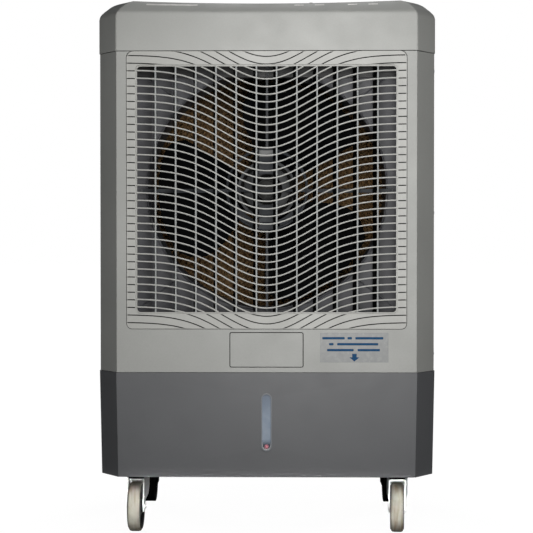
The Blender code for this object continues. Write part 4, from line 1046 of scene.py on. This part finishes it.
def strap(side, y):
    """One half of the stepped strap: a raised end at the guard ring and a flat foot on the motor."""
    steps = ((0.0745, 0.0010), (0.0738, -0.0022), (0.0700, -0.0042), (0.0630, -0.0048), (0.0560, -0.0040))
    steps += ((0.0508, -0.0012), (0.0490, 0.0002), (0.0300, 0.0002), (0.0282, 0.0012))
    if side < 0:
        steps = ((0.0735, 0.0006), (0.0725, -0.0016), (0.0640, -0.0020), (0.0632, -0.0006), (0.0604, -0.0006))
        steps += ((0.0596, -0.0022), (0.0520, -0.0026), (0.0512, -0.0008), (0.0478, -0.0008))
        steps += ((0.0470, 0.0006), (0.0300, 0.0002), (0.0282, 0.0012))
    section = [(y - 0.0012 + lift, side * z) for z, lift in steps]
    section += [(y + 0.0020, side * z) for z in (0.0282, 0.0745 if side > 0 else 0.0735)]
    width = 0.0304
    place = Matrix(((0, 0, 1, -width / 2), (1, 0, 0, 0), (0, 1, 0, FAN_Z), (0, 0, 0, 1)))
    return rounded(moved(prism(section, width), place), 0.0008, 2)


def bracket():
    """The motor's guard ring, strap, saddle plates, crossbar and tie rods."""
    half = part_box("motor_bracket")[1][0] - 0.003
    y = BRACKET_Y
    ring = [(x, y, FAN_Z + z) for x, z in circle(0, 0, GUARD_RADIUS)]
    parts = [tube(ring, 0.0029, 14, closed=True), strap(1, y), strap(-1, y)]
    for start, end in ((204, 250), (290, 336)):
        saddle = arc(0, FAN_Z, 0.0730, start, end, 14) + arc(0, FAN_Z, 0.0595, end, start, 14)
        parts.append(rounded(facing([saddle], 0.0022, y), 0.0006))
    slim, flare = 0.062, 0.085
    left = [(-half, -0.0062), (-flare, -0.0062), (-slim, -0.0046)]
    under = left + [(-x, z) for x, z in reversed(left)]
    over = [(x, 0.0010 if abs(x) > slim else 0.0000) for x, _ in reversed(under)]
    parts.append(rounded(facing([under + over], 0.0053, y - 0.0008, FAN_Z), 0.0008))
    for side in (-1, 1):
        start, end = (0, y, FAN_Z + side * 0.071), (0, y, FAN_Z + side * 0.2325)
        parts.append(rod(start, end, 0.0024, 16))
        x0, x1 = sorted((side * 0.2225, side * 0.2300))
        parts.append(block((x0, y - 0.001, FAN_Z - 0.0055), (x1, SHROUD_FRONT, FAN_Z)))
        z0, z1 = sorted((FAN_Z + side * 0.2250, FAN_Z + side * 0.2330))
        parts.append(block((-0.005, y - 0.001, z0), (0.005, SHROUD_FRONT, z1)))
    piece("motor_cradle", merged(*parts), BRACKET, replaces=["motor_bracket"], smooth=45)
    # A paler plate on the strap's upper end: a painted highlight.
    bright_plate = block((-0.0142, y - 0.0062, FAN_Z + 0.0590), (0.0142, y - 0.0048, FAN_Z + 0.0712))
    piece("strap_highlight_plate", rounded(bright_plate, 0.0005), STRAP_HIGHLIGHT)
    cap = [(0, 0.0024), (0.0140, 0.0022), (0.0165, 0.0015), (0.0186, 0.0004), (0.0190, 0), (0, 0)]
    piece("motor_cap", lathe(cap, 64, shift(0, -0.1512, FAN_Z) @ TO_FRONT), MOTOR)


# --- Pad and rear frame -------------------------------------------------------------------------


def flutes(low, high, y0, y1, depth_steps, wave_steps):
    """Upright corrugated sheets whose flutes cross at alternate angles, between two depths."""
    count = int((high[0] - low[0]) / FLUTE_PITCH)
    pitch = (high[0] - low[0]) / count
    rows = int((high[2] - low[2]) / FLUTE_WAVE * wave_steps)
    ys, zs = spread(y0, y1, depth_steps), spread(low[2], high[2], rows)
    bm = bmesh.new()
    for i in range(count):
        middle = low[0] + (i + 0.5) * pitch
        lean = math.radians(45 if i % 2 else -15)
        grid = []
        for z in zs:
            line = []
            for y in ys:
                along = z * math.cos(lean) - y * math.sin(lean)
                x = middle + 0.46 * pitch * math.sin(2 * math.pi * along / FLUTE_WAVE)
                line.append(bm.verts.new((x, y, z)))
            grid.append(line)
        skin(bm, grid)
    return thickened(bm, 0.0005, 0)


def pad():
    """Corrugated paper, with its flutes modelled at the front and the back of a dark core."""
    low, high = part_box("cooling_pad")
    front, back = low[1] + PAD_SKIN, high[1] - PAD_SKIN
    sheets = flutes(low, high, low[1], front, 5, 4)
    piece("pad_sheets", sheets, PAD, "pad_frame", ["cooling_pad"], smooth=70)
    piece("pad_rear_sheets", flutes(low, high, back, high[1], 4, 3), PAD, "pad_frame", smooth=70)
    core = rounded_rectangle(low[0] + 0.001, low[2] + 0.001, high[0] - 0.001, high[2] - 0.001, 0.002)
    core = facing([core], back - front - 0.0004, (front + back) / 2)
    piece("pad_core", core, PAD, "pad_frame")


def rear_frame():
    """The rear grille: a frame, uprights and sloping slats, with the tray that holds the pad."""
    low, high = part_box("rear_frame")
    back, half = high[1], high[0]
    margin, depth = 0.018, 0.008

    def edge(inset, radius):
        return rounded_rectangle(-half + inset, low[2] + inset, half - inset, high[2] - inset, radius)

    ring = facing([edge(0, 0.004), edge(margin, 0.004)], depth, back - depth / 2)
    length = back - 0.004 - low[1]
    tray = facing([edge(0.0005, 0.003), edge(0.003, 0.003)], length, low[1] + length / 2)
    parts = [rounded(ring, 0.0010, 3), tray]
    z0, z1 = low[2] + margin - 0.001, high[2] - margin + 0.001
    for x in spread(-half + margin, half - margin, 4)[1:-1]:
        parts.append(rounded(block((x - 0.003, back - 0.0078, z0), (x + 0.003, back - 0.0008, z1)), 0.0008))
    tilt = Matrix.Rotation(math.radians(48), 4, "Z")
    slat = rounded_rectangle(-0.0012, -0.0065, 0.0012, 0.0065, 0.0010, steps=2)
    for i in range(SLATS):
        z = low[2] + margin + (i + 0.5) * (high[2] - low[2] - 2 * margin) / SLATS
        place = shift(-half + margin - 0.001, back - 0.0058, z) @ TO_SIDE @ tilt
        parts.append(prism(slat, 2 * (half - margin) + 0.002, place))
    piece("rear_grille", merged(*parts), LIGHT, "pad_frame", ["rear_frame"], smooth=40)
    heads = []
    for x in (-half + 0.009, half - 0.009):
        for z in (low[2] + 0.009, (low[2] + high[2]) / 2, high[2] - 0.009):
            heads.append(screw_head(shift(x, back, z) @ HALF_TURN @ TO_FRONT, 0.0040))
    piece("rear_screws", merged(*heads), ZINC, "pad_frame", smooth=40)


# --- Casters ------------------------------------------------------------------------------------


def folded_fork(half, top, bend, side_view):
    """A folded U of sheet metal, open downwards, trimmed to a side view."""
    low = 0.030

    def bent(half_width, height, radius):
        right = arc(half_width - radius, height - radius, radius, 0, 90)
        left = arc(-half_width + radius, height - radius, radius, 90, 180)
        return [(half_width, low), *right, *left, (-half_width, low)]

    inner = bent(half - SHEET_METAL, top - SHEET_METAL, max(0.0002, bend - SHEET_METAL))
    fork = sheet([bent(half, top, bend) + inner[::-1]], FORK_LENGTH, TO_FRONT)
    return carved(fork, sheet([side_view], 0.05, TO_SIDE), "INTERSECT")


def leg_side(top, front, back, shoulder, axle_y, reach):
    """Side view of a fork, wide at the top and round about the axle, as (y, z) points."""
    return [(back, top), (front, top), *arc(axle_y, WHEEL_RADIUS, reach, 180, 360, 14), (back, shoulder)]


def mounting_plate(x, y, half_x, half_y, radius, top, bolts):
    """A sheet metal plate under the tank, with four bolts of a radius and soft edge at an inset."""
    bolt_x, bolt_y, bolt_radius, soft = bolts
    flange = rounded_rectangle(x - half_x, y - half_y, x + half_x, y + half_y, radius)
    parts = [rounded(sheet([flange], SHEET_METAL, shift(0, 0, top - SHEET_METAL / 2)), 0.0006)]
    for side in (-1, 1):
        for end in (-1, 1):
            at = (x + side * bolt_x, y + end * bolt_y)
            parts.append(hex_head(*at, top - 0.0055, bolt_radius, 0.0030, soft))
    return merged(*parts)


def caster_wheel(name, place, tread, tyre, core, w):
    """A wheel of half width w: a tread on a core with a hub, a webbed face and thin shoulders."""
    loop = tread + [(r, -h) for r, h in reversed(tread[:-1])] + [(tread[0][0], 0)]
    piece(f"{name}_tyre", lathe(loop, 112, place, closed=True), tyre, name, [name], smooth=50)
    face = [(0.0047, w), (0.0115, w), (0.0125, w - 0.0012), (0.0130, w - 0.0050), (0.0295, w - 0.0056)]
    face += [(0.0322, w - 0.0024), (0.0345, w - 0.0006), (0.0390, w), (0.0404, w - 0.0007)]
    face += [(0.0408, w - 0.0020)]
    hub = face + [(r, -h) for r, h in reversed(face)]
    piece(f"{name}_core", lathe(hub, 72, place, closed=True), core, name, smooth=35)
    webs = []
    for i in range(WHEEL_WEBS):
        for side in (-1, 1):
            z0, z1 = sorted((side * (w - 0.0060), side * (w - 0.0030)))
            web = block((0.0122, -0.0010, z0), (0.0318, 0.0010, z1))
            webs.append(moved(in_turn(web, i, WHEEL_WEBS), place))
    piece(f"{name}_webs", merged(*webs), core, name)


# Treads as (radius, half width) points, from the core outwards
PALE_TREAD = [(0.0400, 0.0106), (0.0424, 0.0107), (0.0440, 0.0094), (0.0448, 0.0062), (0.0450, 0.0)]
SQUARE_TREAD = [(0.0400, 0.0121), (0.0436, 0.0127), (0.0446, 0.0124), (0.0450, 0.0115), (0.0450, 0.0)]


def axle_bolt(half, nut_end):
    """A bolt along local Z, with a low rivet head at one end and a nut or a second head at the other."""
    parts = [rod((0, 0, -half), (0, 0, half), AXLE_RADIUS)]
    head = [(0, 0.0012), (0.0048, 0.0010), (0.0058, 0.0004), (0.0058, 0), (0, 0)]
    end = [lathe(head, 32)]
    if nut_end:
        washer = lathe([(0, 0.0007), (0.0060, 0.0007), (0.0063, 0.0005), (0.0063, 0), (0, 0)], 32)
        stub = lathe([(0, 0.0036), (0.0026, 0.0036), (0.0031, 0.0032), (0.0031, 0), (0, 0)], 24)
        end = [washer, hex_head(0, 0, 0.0005, 0.0052, 0.0022, 0.0005), stub]
    outside = shift(0, 0, half + 0.0002)
    parts.append(moved(merged(*end), outside))
    parts.append(moved(lathe(head, 32), FLIP @ outside))
    return merged(*parts)


def swivel_head(x, y, top, race):
    """The fixed plate with its bolts, the bearing housing, the king pin and its rivet."""
    housing = [(0, top - 0.0005), (0.0228, top - 0.0005), (0.0232, top - 0.0030), (0.0226, race + 0.0026)]
    housing += [(0.0214, race + 0.0008), (0.0205, race + 0.0006), (0.0050, race + 0.0006), (0.0050, 0.0920)]
    housing += [(0.0080, 0.0919), (0.0080, 0.0902), (0.0060, 0.0892), (0, 0.0892)]
    plate = mounting_plate(x, y, 0.029, 0.029, 0.006, top, (0.0215, 0.0215, 0.0050, 0.0006))
    return merged(plate, lathe(housing, 64, shift(x, y, 0)))


def front_casters():
    """The swivel casters: fork, wheel, axle bolt and head, with a race and a thin sheet on the fork's top;
    race, sheet and head are black as painted shade under the tank.
    """
    half, fork_top = 0.0155, 0.0955
    for side_name in ("left", "right"):
        x, y = middle_of(f"caster_plate_{side_name}")
        plate_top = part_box(f"caster_plate_{side_name}")[1][2]
        race_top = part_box(f"caster_fork_{side_name}")[1][2]
        body = f"caster_{side_name}"
        place = shift(x, y, 0) @ Matrix.Rotation(YAW[side_name], 4, "Z")
        side_view = leg_side(0.10, -0.0270, 0.0300, 0.076, -TRAIL, 0.0100)
        fork = folded_fork(half, fork_top, 0.0034, side_view)
        fork = carved(fork, rod((0, 0, 0.085), (0, 0, 0.110), 0.0056))
        sliced(fork, (0, 1, 0), (-0.004, 0.010))
        for vert in fork.verts:
            if vert.co.y > 0.005 and abs(vert.co.x) > 0.8 * half:
                vert.co.x += math.copysign(FORK_FLARE, vert.co.x)
        web = block((-half + 0.0015, 0.0240, 0.0760), (half - 0.0015, 0.0262, 0.0945))
        race = [(0.0060, race_top), (0.0175, race_top), (0.0203, race_top - 0.0008)]
        race += [(0.0210, race_top - 0.0022), (0.0210, fork_top), (0.0060, fork_top)]
        race = lathe(race, 64, closed=True)
        fork = moved(merged(rounded(fork, 0.0004, 2), rounded(web, 0.0005)), place)
        piece(f"fork_{side_name}", fork, ZINC, body, [f"caster_fork_{side_name}"], smooth=40)
        # A thin black sheet over the fork's top and a black race: painted shade under the tank.
        fork_top_shade = rounded_rectangle(-half + 0.0012, -0.0258, half - 0.0012, 0.0285, 0.002)
        fork_top_shade = sheet([fork_top_shade, circle(0, 0, 0.0095, 32)], 0.0006, place @ shift(0, 0, fork_top + 0.0004))
        piece(f"race_shade_{side_name}", merged(fork_top_shade, moved(race, place)), RUBBER, body)
        axle = place @ shift(0, -TRAIL, WHEEL_RADIUS) @ TO_SIDE
        caster_wheel(f"caster_wheel_{side_name}", axle, PALE_TREAD, TYRE, BLACK, WHEEL_HALF)
        bolt = moved(axle_bolt(half, side_name == "left"), axle)
        piece(f"axle_bolt_{side_name}", bolt, ZINC, body, [f"caster_axle_{side_name}"], smooth=35)
        # The head is black as painted shade under the tank.
        head = swivel_head(x, y, plate_top, race_top)
        piece(f"swivel_head_{side_name}", head, BLACK, replaces=[f"caster_plate_{side_name}"], smooth=35)


def rear_casters():
    """The rigid casters, all black: wheel, and fork with its plate, axle and caps."""
    half = 0.0165
    for side_name in ("left", "right"):
        name = f"rear_wheel_{side_name}"
        x, y = middle_of(name)
        place = shift(x, y, WHEEL_RADIUS) @ TO_SIDE
        caster_wheel(name, place, SQUARE_TREAD, RUBBER, RUBBER, REAR_WHEEL_HALF)
        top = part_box(f"rear_fork_{side_name}")[1][2]
        side_view = leg_side(top, -0.0240, 0.0240, 0.084, 0, 0.0110)
        fork = folded_fork(half, top - 0.0024, 0.0042, side_view)
        parts = [rounded(fork, 0.0005)]
        parts.append(mounting_plate(0, 0, 0.028, 0.030, 0.005, top, (0.0235, 0.0245, 0.0040, 0.0005)))
        axle = shift(0, 0, WHEEL_RADIUS) @ TO_SIDE
        cap = [(0, 0.0185), (0.0050, 0.0185), (0.0068, 0.0174), (0.0070, 0.0162), (0, 0.0162)]
        parts += [lathe(cap, 32, axle), lathe(cap, 32, axle @ FLIP)]
        parts.append(moved(rod((0, 0, -half), (0, 0, half), AXLE_RADIUS), axle))
        whole = moved(merged(*parts), shift(x, y, 0))
        piece(f"rigid_fork_{side_name}", whole, RUBBER, replaces=[f"rear_fork_{side_name}"], smooth=38)


# --- Stage --------------------------------------------------------------------------------------


def stage_material():
    """White to the camera, with a faint shadow near the wheels. It throws little light back."""
    finish, tree, shader = new_material("studio_white")
    seen = add(tree, "LightPath").outputs["Is Camera Ray"]
    tree.links.new(remap(tree, seen, 0, 1, FLOOR_BOUNCE, 0.9), shader.inputs["Base Color"])
    shader.inputs["Roughness"].default_value = 0.95
    shader.inputs["Specular IOR Level"].default_value = 0.0
    glow = add(tree, "Emission", {"Color": (1, 1, 1, 1), "Strength": 1.02})
    place = add(tree, "TexCoord").outputs["Object"]
    reach = add(tree, "VectorMath", {0: place}, operation="LENGTH").outputs["Value"]
    share = multiplied(tree, seen, remap(tree, reach, 0.35, 0.75, 0.955, 1.0))
    mix = add(tree, "MixShader", {0: share, 1: shader.outputs[0], 2: glow.outputs[0]})
    tree.links.new(mix.outputs[0], tree.nodes["Material Output"].inputs["Surface"])
    return finish


def stage():
    bm = bmesh.new()
    bmesh.ops.create_grid(bm, x_segments=1, y_segments=1, size=FLOOR_SIZE)
    mesh = as_mesh(bm)
    mesh.materials.append(stage_material())
    floor = bpy.data.objects.new("floor", mesh)
    floor.location.z = -FLOOR_DROP
    bpy.context.scene.collection.objects.link(floor)
    world = bpy.data.worlds.new("studio")
    world.use_nodes = True
    tree = world.node_tree
    white = add(tree, "Background", {"Color": (1, 1, 1, 1), "Strength": 1.0})
    room = tree.nodes["Background"]
    room.inputs["Color"].default_value = (0.92, 0.95, 1.0, 1)
    room.inputs["Strength"].default_value = ROOM_LIGHT
    seen = add(tree, "LightPath").outputs["Is Camera Ray"]
    mix = add(tree, "MixShader", {0: seen, 1: room.outputs[0], 2: white.outputs[0]})
    tree.links.new(mix.outputs[0], tree.nodes["World Output"].inputs["Surface"])
    bpy.context.scene.world = world


def lamp(name, place, target, size, power, colour=(1, 1, 1), spread=180, glossy=True):
    data = bpy.data.lights.new(name, "AREA")
    data.shape = "RECTANGLE"
    data.size, data.size_y = size
    data.energy = power
    data.color = colour
    data.spread = math.radians(spread)
    obj = bpy.data.objects.new(name, data)
    obj.location = place
    obj.rotation_euler = (Vector(target) - Vector(place)).to_track_quat("-Z", "Y").to_euler()
    obj.visible_camera = False
    obj.visible_glossy = glossy
    bpy.context.scene.collection.objects.link(obj)


def camera_and_lights():
    data = bpy.data.cameras.new("camera")
    data.lens = CAMERA_LENS
    data.sensor_width = SENSOR_WIDTH
    camera = bpy.data.objects.new("camera", data)
    camera.location = (CAMERA_SIDE, FACE_Y - CAMERA_AHEAD, CAMERA_HEIGHT)
    camera.rotation_euler = (math.pi / 2 - CAMERA_TILT, 0, CAMERA_TURN)
    bpy.context.scene.collection.objects.link(camera)
    bpy.context.scene.camera = camera
    lamp("key", (0.12, -1.25, 0.78), (0, 0, 0.66), (0.5, 1.15), 11.75, (1.0, 0.99, 0.975))
    lamp("low", (0.0, -1.25, 0.052), (0, 0, 0.052), (0.62, 0.05), 0.17, spread=6)
    for side in (-1, 1):
        lamp("rear", (side * 2.0, 2.85, 0.8), (0, 0, 0.5), (1.0, 0.8), 82, glossy=False)
    lamp("top", (0.3, 1.1, 2.7), (0, 0, 0.6), (1.6, 1.2), 10)
    bpy.context.scene.view_settings.view_transform = "Standard"


def main():
    camera_and_lights()
    stage()
    grille()
    top_cover()
    front_panel()
    printed_label()
    cabinet_sides()
    tank()
    controls()
    roof_label()
    louvres()
    shroud()
    fan()
    motor()
    bracket()
    pad()
    rear_frame()
    front_casters()
    rear_casters()


main()
